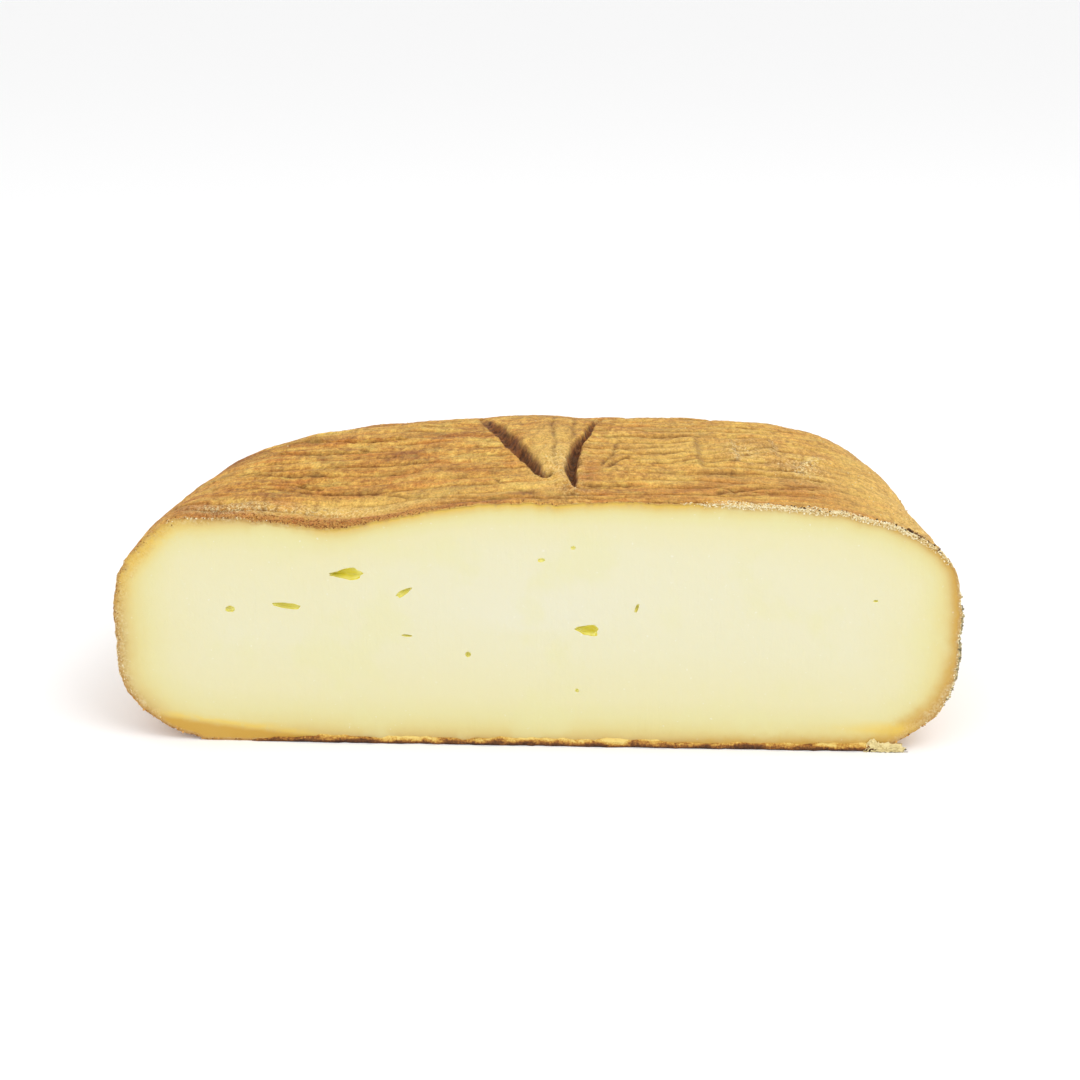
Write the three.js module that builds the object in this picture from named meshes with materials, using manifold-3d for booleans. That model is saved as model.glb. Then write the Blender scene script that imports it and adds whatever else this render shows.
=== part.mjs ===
// Half of a square, cloth-pressed cow's-milk cheese with rounded edges, standing on its base with its
// cut face to the front. Millimetres, +Z up, +X to the right along the cut, +Y away from the cut face.
// The press cloth was gathered into a knot at the middle of the top. It left two deep folds that run
// from the knot to the back, a tongue between them, and long shallow pleats across the top.

import * as THREE from "three";
import { mergeVertices } from "three/addons/utils/BufferGeometryUtils.js";
import { ImprovedNoise } from "three/addons/math/ImprovedNoise.js";
import Module from "manifold-3d";

// Driving sizes of the half cheese
const HALF_WIDTH = 105;
const DEPTH = 107;
const GIRTH_HEIGHT = 26.1;
const TOP_RISE = 38.3;

// How square the edges are: 2 is a circle's arc, and more is squarer
const PLAN_LEFT = 3.05;
const PLAN_RIGHT = 6.6;
const SHOULDER_LEFT = 3.9;
const SHOULDER_RIGHT = 4.05;
const SHOULDER_BACK = 5.95;
const FOOT = 3.0;

// The unevenness of a cheese made by hand
const BACK_SHIFT = -3.0;
const BACK_TAPER = -9.8;
const SIDE_TILT = 1.4;
const SAG = { depth: 5.3, x: -48.7, width: 23, reach: 40 };
const CORNER_LUMP = { height: 3.4, x: -90, width: 7.5, reach: 24 };

// The base and the cut are trimmed flat from a form that reaches past both
const BELOW_BASE = 6.8;
const BEFORE_CUT = 3;

// The grid of faces over the rind, which is finer in height towards the shoulders and the foot
const SEGMENTS = { x: 54, y: 47, z: 12 };

// The knot's two deep folds and the crease at the back left, each a bowed line from its tip to its end
const FOLD_STEPS = 22;
const FOLD_CLEARANCE = 3;
const FOLD_FLOOR = 0.3;
const LEFT_FOLD = {
  tip: new THREE.Vector2(1.6, 21.5),
  end: new THREE.Vector2(-21, 95),
  bow: 0,
  halfWidth: 2.4,
  depth: 4.6,
};
const RIGHT_FOLD = {
  tip: new THREE.Vector2(9.6, 14),
  end: new THREE.Vector2(17, 94),
  bow: 3.2,
  halfWidth: 1.5,
  depth: 4,
};
const BACK_CREASE = {
  tip: new THREE.Vector2(-36, 61.3),
  end: new THREE.Vector2(-73, 69.5),
  bow: 4,
  halfWidth: 1.1,
  depth: 2,
};
const TONGUE = { rise: 1.2, crease: 1.2, creaseWidth: 2.2 };
const STRAND = { rise: 1.2, width: 2.2 };

// Pleats: shallow creases between two points on the top, with their depth and half width
const PLEATS = [
  { from: [-84, 50], to: [-50, 49], depth: 0.8, width: 2.2 },
  { from: [-78, 30], to: [-44, 34], depth: 0.9, width: 2.2 },
  { from: [-64, 27], to: [-52, 24], depth: 1.2, width: 2 },
  { from: [-52, 24], to: [-13, 6], depth: 1.1, width: 2.2 },
  { from: [20, 38], to: [44, 27], depth: 1, width: 2.2 },
  { from: [44, 27], to: [78, 25], depth: 0.9, width: 2.2 },
  { from: [14, 14], to: [72, 18], depth: 1, width: 2.4 },
  { from: [21, 35], to: [30, 64], depth: 0.7, width: 2 },
];
// Marks of the cloth's seam: three short steps beside each other
const SEAM_STEPS = [
  { x: 41, from: 30, to: 60 },
  { x: 51, from: 36, to: 59 },
  { x: 61.5, from: 43, to: 60 },
];
const SEAM_RISE = 0.8;
const SEAM_RUN = 8;
const SEAM_DROP = 1.2;

// Overall roughness of the rind, and the crags that the knife left beside the cut
const PLEAT_WAVE = { height: 0.35, spacing: 8 };
const ROUGHNESS = { height: 0.7, size: 17, calm: 14 };
const CRAGS = { height: 0.7, size: 5.5, reach: 4.5 };

// A scrap of rind that the knife dragged out at the foot of the cut, beside the right corner
const BURR = { x: 87, left: 14, right: 7.5, halfDepth: 5, height: 2.6, bluntness: 0.6, raggedness: 0.2 };

// The cut face's eyes: centre along X and Z, half length, half height, depth, tilt in degrees, taper
const EYES = [
  { x: -46.9, z: 45.4, length: 4.3, height: 1.4, depth: 2.6, tilt: 3, taper: 0.65 },
  { x: -61.8, z: 36.9, length: 3.5, height: 0.9, depth: 2.1, tilt: -5, taper: 0.3 },
  { x: -75.8, z: 35.8, length: 1.2, height: 0.85, depth: 1.4, tilt: 0, taper: 0 },
  { x: -32.4, z: 40.9, length: 2.2, height: 0.75, depth: 1.5, tilt: 32, taper: -0.3 },
  { x: 12.9, z: 31.6, length: 2.9, height: 1.35, depth: 2.4, tilt: -6, taper: 0.55 },
  { x: -16.7, z: 24.6, length: 0.7, height: 0.7, depth: 0.9, tilt: 0, taper: 0 },
  { x: 25.1, z: 37.6, length: 1.2, height: 0.5, depth: 0.9, tilt: 70, taper: 0 },
];
const EYE_FACES = { around: 10, along: 6 };

const RIND_COLOUR = 0xc08a3e;

const noise = new ImprovedNoise();
const wasm = await Module();
wasm.setup();

/** Smooth bump: 1 at distance 0, falling to nothing past about twice the width. */
const bump = (distance, width) => Math.exp(-((distance / width) ** 2));

/** Smooth step from 0 at low to 1 at high. */
const step = (value, low, high) => THREE.MathUtils.smoothstep(value, low, high);

/** Length of (a, b) in the norm that makes a rounded square of the given squareness. */
const roundedLength = (a, b, squareness) =>
  (Math.abs(a) ** squareness + Math.abs(b) ** squareness) ** (1 / squareness);

/** Squareness of the shoulder in the direction (x, y), blended from left to right and to the back. */
function shoulderSquareness(x, y) {
  const length = Math.max(Math.hypot(x, y), 1e-6);
  const side = THREE.MathUtils.lerp(SHOULDER_LEFT, SHOULDER_RIGHT, 0.5 + (0.5 * x) / length);
  return THREE.MathUtils.lerp(side, SHOULDER_BACK, (y / length) ** 2);
}

/** Height of the smooth form above the girth, from its share of the full rise at (x, y). */
function riseAt(share, x, y) {
  const sag = SAG.depth * bump(x - SAG.x, SAG.width) * bump(y, SAG.reach);
  const lump = CORNER_LUMP.height * bump(x - CORNER_LUMP.x, CORNER_LUMP.width) * bump(y, CORNER_LUMP.reach);
  return share * (TOP_RISE + (SIDE_TILT * x) / HALF_WIDTH) + share ** 2 * (lump - sag);
}

/** Maps a point of the box from -1 to 1 to the smooth form: faces go to the skin, their edges are rounded. */
function formPoint(point) {
  const plan = point.x < 0 ? PLAN_LEFT : PLAN_RIGHT;
  const reach = Math.max(Math.abs(point.x), Math.abs(point.y));
  const planShare = reach > 0 ? reach / roundedLength(point.x, point.y, plan) : 1;
  const x = point.x * planShare * HALF_WIDTH;
  const y = point.y * planShare * DEPTH;
  const squareness = point.z > 0 ? shoulderSquareness(x, y) : FOOT;
  const share = Math.max(reach, Math.abs(point.z)) / roundedLength(reach, point.z, squareness);
  const height = point.z * share;
  const shift = BACK_SHIFT + (BACK_TAPER * x * share) / HALF_WIDTH;
  const shiftedX = x * share + (shift * y * share) / DEPTH;
  const z = height > 0 ? riseAt(height, x * share, y * share) : height * (GIRTH_HEIGHT + BELOW_BASE);
  return new THREE.Vector3(shiftedX, y * share, GIRTH_HEIGHT + z);
}

/** Height of the smooth top at (x, y), for cutters that follow it. */
function topHeight(x, y) {
  const taper = (BACK_TAPER * y) / (DEPTH * HALF_WIDTH);
  const unshifted = (x - (BACK_SHIFT * y) / DEPTH) / (1 + taper);
  const plan = unshifted < 0 ? PLAN_LEFT : PLAN_RIGHT;
  const reach = Math.min(roundedLength(unshifted / HALF_WIDTH, y / DEPTH, plan), 0.999);
  const squareness = shoulderSquareness(unshifted, y);
  const share = (1 - reach ** squareness) ** (1 / squareness);
  return GIRTH_HEIGHT + riseAt(share, unshifted, y);
}

/** Centre of a fold in plan, at a share of its length from tip to end. */
function foldCentre(fold, share) {
  const along = fold.end.clone().sub(fold.tip);
  const across = new THREE.Vector2(-along.y, along.x).normalize();
  return fold.tip
    .clone()
    .addScaledVector(along, share)
    .addScaledVector(across, fold.bow * Math.sin(Math.PI * share));
}

/** X of a fold's centre line at depth y into the cheese. */
const foldX = (fold, y) => foldCentre(fold, (y - fold.tip.y) / (fold.end.y - fold.tip.y)).x;

/** Distance from (x, y) to the straight line between two points. */
function distanceToLine(x, y, [x1, y1], [x2, y2]) {
  const along = new THREE.Vector2(x2 - x1, y2 - y1);
  const offset = new THREE.Vector2(x - x1, y - y1);
  const share = THREE.MathUtils.clamp(offset.dot(along) / along.lengthSq(), 0, 1);
  return offset.addScaledVector(along, -share).length();
}

/** Relief of the pleats and the seam's steps on the top, in millimetres outwards. */
function topRelief(x, y) {
  let relief = 0;
  for (const pleat of PLEATS) {
    const distance = distanceToLine(x, y, pleat.from, pleat.to);
    relief -= pleat.depth * bump(distance, pleat.width);
  }
  for (const seam of SEAM_STEPS) {
    const inside = step(y, seam.from - 2, seam.from + 2) * (1 - step(y, seam.to - 2, seam.to + 2));
    const before = step(x, seam.x - SEAM_RUN, seam.x) * (1 - step(x, seam.x, seam.x + SEAM_DROP));
    relief += SEAM_RISE * inside * before;
  }
  const wave = Math.sin((2 * Math.PI * (y + 5 * noise.noise(x / 40, y / 25, 7))) / PLEAT_WAVE.spacing);
  return relief + PLEAT_WAVE.height * wave;
}

/** Relief of the tongue between the two folds, with the strand that runs from its tip to the knot. */
function tongueRelief(x, y) {
  const left = foldX(LEFT_FOLD, y);
  const right = foldX(RIGHT_FOLD, y);
  const across = (x - left) / (right - left);
  const inside = Math.sin(Math.PI * THREE.MathUtils.clamp(across, 0, 1)) ** 2 * step(y, 21, 26);
  const crease = TONGUE.crease * bump(x - (left + right) / 2, TONGUE.creaseWidth) * step(y, 32, 44);
  const strandEnds = [
    [4, 25],
    [RIGHT_FOLD.tip.x + 1, 6],
  ];
  const strand = STRAND.rise * bump(distanceToLine(x, y, ...strandEnds), STRAND.width);
  return inside * (TONGUE.rise - crease) + strand;
}

/** Relief of the whole rind at a point of the smooth form, in millimetres outwards. */
function rindRelief(point) {
  const { x, y, z } = point;
  const onTop = step(z, GIRTH_HEIGHT + 16, GIRTH_HEIGHT + 28);
  const unevenness = noise.noise(x / ROUGHNESS.size, y / ROUGHNESS.size, z / ROUGHNESS.size);
  const rough = ROUGHNESS.height * unevenness * step(y, -ROUGHNESS.calm, ROUGHNESS.calm);
  const besideCut = bump(y, CRAGS.reach);
  const crags = CRAGS.height * noise.noise(x / CRAGS.size, 3.3, z / CRAGS.size) * besideCut;
  return rough + crags + onTop * (topRelief(x, y) + tongueRelief(x, y));
}

/** A box's geometry with only positions, its corners merged, so that its vertices can be moved. */
function mergedBox(...sizes) {
  return mergedPositions(new THREE.BoxGeometry(...sizes));
}

/** A geometry reduced to its positions, with vertices that lie together merged. */
function mergedPositions(geometry) {
  geometry.deleteAttribute("normal");
  geometry.deleteAttribute("uv");
  return mergeVertices(geometry, 1e-4);
}

/** Moves every vertex of a geometry to where place sends it. */
function reshape(geometry, place) {
  const position = geometry.getAttribute("position");
  for (let i = 0; i < position.count; i++) {
    const moved = place(new THREE.Vector3().fromBufferAttribute(position, i), i);
    position.setXYZ(i, moved.x, moved.y, moved.z);
  }
  return geometry;
}

/** A closed, merged geometry as a solid that can be joined and cut. */
function solidOf(geometry) {
  return new wasm.Manifold(
    new wasm.Mesh({
      numProp: 3,
      vertProperties: new Float32Array(geometry.getAttribute("position").array),
      triVerts: new Uint32Array(geometry.index.array),
    }),
  );
}

/** A solid as a geometry. */
function geometryOf(solid) {
  const mesh = solid.getMesh();
  const geometry = new THREE.BufferGeometry();
  geometry.setAttribute("position", new THREE.BufferAttribute(mesh.vertProperties, 3));
  geometry.setIndex(new THREE.BufferAttribute(mesh.triVerts, 1));
  return geometry;
}

/** The whole skin with its relief, before the knife and the board trim it. */
function makeBody() {
  const lead = BEFORE_CUT / DEPTH;
  const box = mergedBox(2, 1 + lead, 2, SEGMENTS.x, SEGMENTS.y, SEGMENTS.z);
  box.translate(0, (1 - lead) / 2, 0);
  reshape(box, (point) => point.setZ(Math.sin((Math.PI / 2) * point.z)));
  reshape(box, formPoint);
  box.computeVertexNormals();
  const normal = box.getAttribute("normal");
  reshape(box, (point, i) => {
    const outwards = new THREE.Vector3().fromBufferAttribute(normal, i);
    return point.addScaledVector(outwards, rindRelief(point));
  });
  return solidOf(box);
}

/** The slab in front of the cut plane, which the knife took away. */
function makeKnifeSlab() {
  const slab = mergedBox(4 * HALF_WIDTH, DEPTH, 4 * HALF_WIDTH);
  return solidOf(slab.translate(0, -DEPTH / 2, 0));
}

/** The slab below the base, where the cheese settled flat on its board. */
function makeBoardSlab() {
  const slab = mergedBox(4 * HALF_WIDTH, 4 * DEPTH, DEPTH);
  return solidOf(slab.translate(0, 0, -DEPTH / 2));
}

/** A wedge that cuts one deep fold out of the top, following its surface. */
function makeFoldCutter(fold) {
  const wedge = mergedBox(2, 1, 1, 2, FOLD_STEPS, 1);
  reshape(wedge, (corner) => {
    const share = corner.y + 0.5;
    const centre = foldCentre(fold, share);
    const swell = Math.sin(Math.PI * Math.min(0.12 + share * 0.9, 1)) ** 0.6;
    const surface = topHeight(centre.x, centre.y);
    const isTop = corner.z > 0;
    const height = isTop ? FOLD_CLEARANCE : -fold.depth * swell;
    const width = isTop ? (FOLD_CLEARANCE / fold.depth + 1) * fold.halfWidth * swell : FOLD_FLOOR;
    return new THREE.Vector3(centre.x + corner.x * width, centre.y, surface + height);
  });
  return solidOf(wedge);
}

/** A slit-shaped eye, as a tapered ball that lies across the cut plane. */
function makeEyeCutter(eye) {
  const ball = mergedPositions(new THREE.SphereGeometry(1, EYE_FACES.around, EYE_FACES.along));
  const tilt = THREE.MathUtils.degToRad(eye.tilt);
  reshape(ball, (point) => {
    const along = point.x * eye.length;
    const up = point.z * eye.height * (1 + eye.taper * point.x);
    const x = eye.x + along * Math.cos(tilt) - up * Math.sin(tilt);
    const z = eye.z + along * Math.sin(tilt) + up * Math.cos(tilt);
    return new THREE.Vector3(x, point.y * eye.depth, z);
  });
  return solidOf(ball);
}

/** The scrap of rind at the foot of the cut, low and ragged, thin to the left and blunt to the right. */
function makeBurr() {
  const cushion = mergedPositions(new THREE.SphereGeometry(1, 16, 10));
  const blunt = (value) => Math.sign(value) * Math.abs(value) ** BURR.bluntness;
  reshape(cushion, ({ x, y, z }) => {
    const ragged = 1 + BURR.raggedness * noise.noise(2 * x, 2 * y, 2 * z + 9);
    return new THREE.Vector3(
      BURR.x + (x < 0 ? x * BURR.left : blunt(x) * BURR.right * ragged),
      blunt(y) * BURR.halfDepth * ragged,
      blunt(z) * BURR.height * ragged,
    );
  });
  return solidOf(cushion);
}

/** The half cheese as one solid, cut and trimmed. */
function makeCheese() {
  let cheese = makeBody().add(makeBurr());
  for (const fold of [LEFT_FOLD, RIGHT_FOLD, BACK_CREASE]) {
    cheese = cheese.subtract(makeFoldCutter(fold));
  }
  cheese = cheese.subtract(makeKnifeSlab()).subtract(makeBoardSlab());
  for (const eye of EYES) {
    cheese = cheese.subtract(makeEyeCutter(eye));
  }
  return geometryOf(cheese);
}

const geometry = makeCheese();
geometry.computeBoundingBox();
const centre = geometry.boundingBox.getCenter(new THREE.Vector3());
geometry.translate(-centre.x, -centre.y, 0);
geometry.computeVertexNormals();

const cheese = new THREE.Mesh(
  geometry,
  new THREE.MeshStandardMaterial({ color: RIND_COLOUR, roughness: 0.8, metalness: 0 }),
);
cheese.name = "cheese_half";

const model = new THREE.Group();
model.add(cheese);
export default model;
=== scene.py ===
"""Half of a square cloth-pressed cheese: carved rind, cut paste with its eyes, crumbs and mould."""

import logging
import math
from dataclasses import dataclass, field
from enum import Enum
from typing import Callable

import bmesh
import bpy
import numpy as np
from mathutils import Matrix, Vector, kdtree, noise


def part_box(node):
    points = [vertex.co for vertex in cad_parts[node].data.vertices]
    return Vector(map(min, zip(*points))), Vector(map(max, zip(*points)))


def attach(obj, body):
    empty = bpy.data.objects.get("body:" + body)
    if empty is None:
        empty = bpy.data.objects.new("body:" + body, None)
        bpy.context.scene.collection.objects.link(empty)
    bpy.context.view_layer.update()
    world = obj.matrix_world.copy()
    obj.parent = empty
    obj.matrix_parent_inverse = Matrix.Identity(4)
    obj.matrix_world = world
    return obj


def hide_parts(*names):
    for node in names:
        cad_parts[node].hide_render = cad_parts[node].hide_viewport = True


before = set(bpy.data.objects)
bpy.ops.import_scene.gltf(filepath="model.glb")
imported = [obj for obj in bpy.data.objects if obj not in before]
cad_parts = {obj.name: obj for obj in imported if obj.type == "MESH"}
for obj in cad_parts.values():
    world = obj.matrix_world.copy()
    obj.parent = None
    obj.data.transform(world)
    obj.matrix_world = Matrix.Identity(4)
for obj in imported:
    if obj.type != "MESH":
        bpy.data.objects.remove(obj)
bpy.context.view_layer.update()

LOG = logging.getLogger("cheese")
MM = 0.001
NODE = "cheese_half"
BODY = "root"
# How many times as bright as its own colour a surface shows in the studio
STUDIO_BRIGHTNESS = 1.27
# Heights of noise, in millimetres, that hardly change over the cheese
TALL = 60.0
ENDLESS = 200.0
# What still counts as nothing, and as lying on the cut
TINY = 1e-6
ON_CUT = 1e-3


class Slot(Enum):
    """The record's material slots."""

    RIND = "rind"
    PASTE = "paste"


class Paint(Enum):
    """Vertex attributes that tell the materials where the cheese changes colour, and where shade and highlights are
    painted on it.
    """

    # Painted shade in the creases, in the pleats' creases and beside the seams' steps
    CREASE = "crease"
    # Painted shade in the folds, together with the brown stain near the tongue's end
    FOLD = "fold"
    RUSSET = "russet"
    # Pale mould, together with painted highlights beside the seams' steps
    BLOOM = "bloom"
    GOLD = "gold"
    RIPENESS = "ripeness"
    AMBER = "amber"
    GRANULES = "granules"
    EDGE = "edge"
    TINT = "tint"


class Axis(Enum):
    """Directions of the box that the half cheese is carved from."""

    ACROSS = 0
    INWARDS = 1
    UP = 2


def smooth_step(value: np.ndarray, low: float, high: float) -> np.ndarray:
    """Returns 0 below low and 1 above high, with a smooth rise between them."""
    share = np.clip((value - low) / (high - low), 0.0, 1.0)
    return share * share * (3.0 - 2.0 * share)


def plateau(value: np.ndarray, rise: tuple[float, float], fall: tuple[float, float]) -> np.ndarray:
    """Returns 1 on a plateau and 0 beyond it, with a smooth rise before it and a smooth fall after."""
    return smooth_step(value, *rise) * (1.0 - smooth_step(value, *fall))


def hump(distance: np.ndarray, width: float) -> np.ndarray:
    """Returns 1 at distance 0, falling smoothly to nothing past about twice the width."""
    return np.exp(-((distance / width) ** 2))


def rounded_length(first: np.ndarray, second: np.ndarray, squareness: np.ndarray | float) -> np.ndarray:
    """Returns the length of (first, second) in the norm that makes a rounded square."""
    total = np.abs(first) ** squareness + np.abs(second) ** squareness
    return np.maximum(total, 1e-12) ** (1.0 / squareness)


def field_noise(points: np.ndarray, size: float | tuple[float, float, float], seed: float) -> np.ndarray:
    """Smooth noise over points.

    Args:
        points: Places in millimetres, one row each.
        size: Size of the noise's bumps, or their sizes along X, Y and Z.
        seed: Offset that gives each use its own pattern.

    Returns:
        One value from about -1 to 1 for each point.
    """
    scaled = points / np.array(size) + seed
    return np.array([noise.noise(place) for place in scaled.tolist()])


@dataclass(frozen=True)
class CheeseForm:
    """The smooth half cheese, in millimetres from the foot of the cut's centre line."""

    half_width: float = 105.0
    depth: float = 107.0
    girth_height: float = 26.1
    top_rise: float = 38.3
    below_base: float = 6.8
    plan_left: float = 3.05
    plan_right: float = 6.6
    shoulder_left: float = 3.9
    shoulder_right: float = 4.05
    shoulder_back: float = 5.95
    foot: float = 3.0
    back_shift: float = -3.0
    back_taper: float = -9.8
    side_tilt: float = 1.4
    sag_depth: float = 5.3
    sag_x: float = -48.7
    sag_width: float = 23.0
    sag_reach: float = 40.0
    lump_height: float = 3.4
    lump_x: float = -90.0
    lump_width: float = 7.5
    lump_reach: float = 24.0

    def plan_squareness(self, x: np.ndarray) -> np.ndarray:
        """Returns how square the outline is in plan, on the left or the right."""
        return np.where(x < 0, self.plan_left, self.plan_right)

    def shoulder_squareness(self, x: np.ndarray, y: np.ndarray) -> np.ndarray:
        """Returns how square the shoulder is in the direction (x, y)."""
        length = np.maximum(np.hypot(x, y), TINY)
        rightwards = 0.5 + 0.5 * x / length
        side = self.shoulder_left + (self.shoulder_right - self.shoulder_left) * rightwards
        return side + (self.shoulder_back - side) * (y / length) ** 2

    def rise(self, share: np.ndarray, x: np.ndarray, y: np.ndarray) -> np.ndarray:
        """Returns the height above the girth, from its share of the full rise at (x, y)."""
        sag = self.sag_depth * hump(x - self.sag_x, self.sag_width) * hump(y, self.sag_reach)
        lump = self.lump_height * hump(x - self.lump_x, self.lump_width) * hump(y, self.lump_reach)
        return share * (self.top_rise + self.side_tilt * x / self.half_width) + share**2 * (lump - sag)

    def point(self, box: np.ndarray) -> np.ndarray:
        """Sends points of the box's skin to the smooth form.

        Args:
            box: Places on the box, from -1 to 1 across and up, and from 0 to 1 inwards.

        Returns:
            The same points on the form, in millimetres.
        """
        a, b, c = box.T
        reach = np.maximum(np.abs(a), np.abs(b))
        plan_length = rounded_length(a, b, self.plan_squareness(a))
        plan_share = np.where(reach > 0, reach / plan_length, 1.0)
        x = a * plan_share * self.half_width
        y = b * plan_share * self.depth
        squareness = np.where(c > 0, self.shoulder_squareness(x, y), self.foot)
        share = np.maximum(reach, np.abs(c)) / rounded_length(reach, c, squareness)
        height = c * share
        above = self.rise(height, x * share, y * share)
        below = height * (self.girth_height + self.below_base)
        z = self.girth_height + np.where(height > 0, above, below)
        shift = self.back_shift + self.back_taper * x * share / self.half_width
        return np.stack([x * share + shift * y * share / self.depth, y * share, z], axis=1)

    def outwards(self, points: np.ndarray) -> np.ndarray:
        """Works out which way is out of the form.

        Args:
            points: Places on the form, in millimetres.

        Returns:
            The unit directions that point outwards there.
        """
        x, y, z = points.T
        taper = 1.0 + self.back_taper * y / (self.depth * self.half_width)
        across = (x - self.back_shift * y / self.depth) / taper / self.half_width
        inwards = y / self.depth
        height = z - self.girth_height
        scale = np.where(height > 0, self.top_rise, self.girth_height + self.below_base)
        plan = self.plan_squareness(across)
        edge = np.where(height > 0, self.shoulder_squareness(x, y), self.foot)
        reach = rounded_length(across, inwards, plan)
        steep = reach ** (edge - plan)
        slope = np.stack(
            [
                steep * np.sign(across) * np.abs(across) ** (plan - 1) / self.half_width,
                steep * np.sign(inwards) * np.abs(inwards) ** (plan - 1) / self.depth,
                np.sign(height) * np.abs(height / scale) ** (edge - 1) / scale,
            ],
            axis=1,
        )
        return slope / np.maximum(np.linalg.norm(slope, axis=1, keepdims=True), 1e-9)


Line = tuple[tuple[float, float], ...]


def beside(line: Line, x: np.ndarray, y: np.ndarray) -> tuple[np.ndarray, np.ndarray, np.ndarray]:
    """Measures places on the top against a line of points.

    Args:
        line: The line's points, in order.
        x: Places across the cheese.
        y: Places into the cheese.

    Returns:
        The distance from the line, the same with a sign, positive towards the back, and the number of the
        nearest point with its share of the way to the next.
    """
    nearest = np.full(x.shape, np.inf)
    towards_back = np.zeros(x.shape)
    station = np.zeros(x.shape)
    for index, (start, end) in enumerate(zip(line, line[1:])):
        along = np.subtract(end, start)
        dx, dy = x - start[0], y - start[1]
        share = np.clip((dx * along[0] + dy * along[1]) / np.dot(along, along), 0.0, 1.0)
        away_x, away_y = dx - share * along[0], dy - share * along[1]
        distance = np.hypot(away_x, away_y)
        nearer = distance < nearest
        nearest = np.where(nearer, distance, nearest)
        towards_back = np.where(nearer, np.copysign(distance, away_y), towards_back)
        station = np.where(nearer, index + share, station)
    return nearest, towards_back, station


@dataclass(frozen=True)
class Fold:
    """A deep fold in the top, with its half width and depth at each point of its line."""

    line: Line
    half_widths: tuple[float, ...]
    depths: tuple[float, ...]
    floor_share: float = 0.3
    wall_share: float = 1.1
    lip: float = 0.45
    lip_share: float = 1.6
    lip_width: float = 0.5
    full_lip_depth: float = 3.0
    # Where the fold's painted shade fades out, in half widths, and the fold depth at which it is full
    dark_shares: tuple[float, float] = (0.7, 1.25)
    full_dark_depth: float = 1.2

    def line_x(self, y: np.ndarray) -> np.ndarray:
        """Returns the X of the fold's centre line at depth y into the cheese."""
        across, inwards = np.array(self.line).T
        return np.interp(y, inwards, across)

    def measure(self, x: np.ndarray, y: np.ndarray) -> tuple[np.ndarray, np.ndarray]:
        """Returns places' distances from the line, in half widths, and the fold's depth there."""
        distance, _, station = beside(self.line, x, y)
        stations = np.arange(len(self.line))
        return distance / np.interp(station, stations, self.half_widths), np.interp(station, stations, self.depths)

    def relief(self, x: np.ndarray, y: np.ndarray) -> np.ndarray:
        """Returns the fold's relief: a steep-sided hollow between two soft lips."""
        share, depth = self.measure(x, y)
        hollow = 1.0 - smooth_step(share, self.floor_share, self.wall_share)
        lips = self.lip * hump(share - self.lip_share, self.lip_width)
        return lips * np.minimum(depth / self.full_lip_depth, 1.0) - depth * hollow

    def dark(self, x: np.ndarray, y: np.ndarray) -> np.ndarray:
        """Returns how much painted shade lies in the fold's hollow, from 0 to 1."""
        share, depth = self.measure(x, y)
        return (1.0 - smooth_step(share, *self.dark_shares)) * np.minimum(depth / self.full_dark_depth, 1.0)


@dataclass(frozen=True)
class Crease:
    """A shallow crease along a line on the top, with a lip raised on its far side."""

    line: Line
    depth: float
    width: float = 0.7
    lip: float = 0.0
    lip_place: float = 2.4
    lip_spread: float = 1.5
    fade: tuple[float, float] = (-0.05, 0.35)

    def measure(self, x: np.ndarray, y: np.ndarray) -> tuple[np.ndarray, np.ndarray, np.ndarray]:
        """Measures places against the crease, which is uneven along its length and fades at its ends.

        Args:
            x: Places across the cheese.
            y: Places into the cheese.

        Returns:
            The distance from the line, the same with a sign, and the crease's strength there.
        """
        distance, towards_back, station = beside(self.line, x, y)
        from_end = np.minimum(station, len(self.line) - 1 - station)
        uneven = 0.72 + 0.2 * np.sin(0.9 * x + 0.5 * y) + 0.13 * np.sin(2.1 * x - 1.3 * y)
        return distance, towards_back, uneven * smooth_step(from_end, *self.fade)

    def relief(self, x: np.ndarray, y: np.ndarray) -> np.ndarray:
        """Returns the crease's relief, in millimetres outwards."""
        distance, towards_back, strength = self.measure(x, y)
        lip = self.lip * hump(towards_back - self.lip_place * self.width, self.lip_spread * self.width)
        return strength * (lip - self.depth * hump(distance, self.width))

    def dark(self, x: np.ndarray, y: np.ndarray) -> np.ndarray:
        """Returns how much painted shade lies in the crease's bottom, from 0 to 1."""
        distance, _, strength = self.measure(x, y)
        return np.clip(0.4 + 0.6 * self.depth, 0.0, 1.0) * strength * hump(distance, self.width)


@dataclass(frozen=True)
class Patch:
    """A soft-edged oval on the top where the rind's colour changes."""

    centre: tuple[float, float]
    radius: tuple[float, float]
    strength: float = 1.0

    def amount(self, x: np.ndarray, y: np.ndarray) -> np.ndarray:
        """Returns how much of the patch's colour lies at each place."""
        across = (x - self.centre[0]) / self.radius[0]
        inwards = (y - self.centre[1]) / self.radius[1]
        return self.strength * hump(np.hypot(across, inwards), 1.0)


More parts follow.
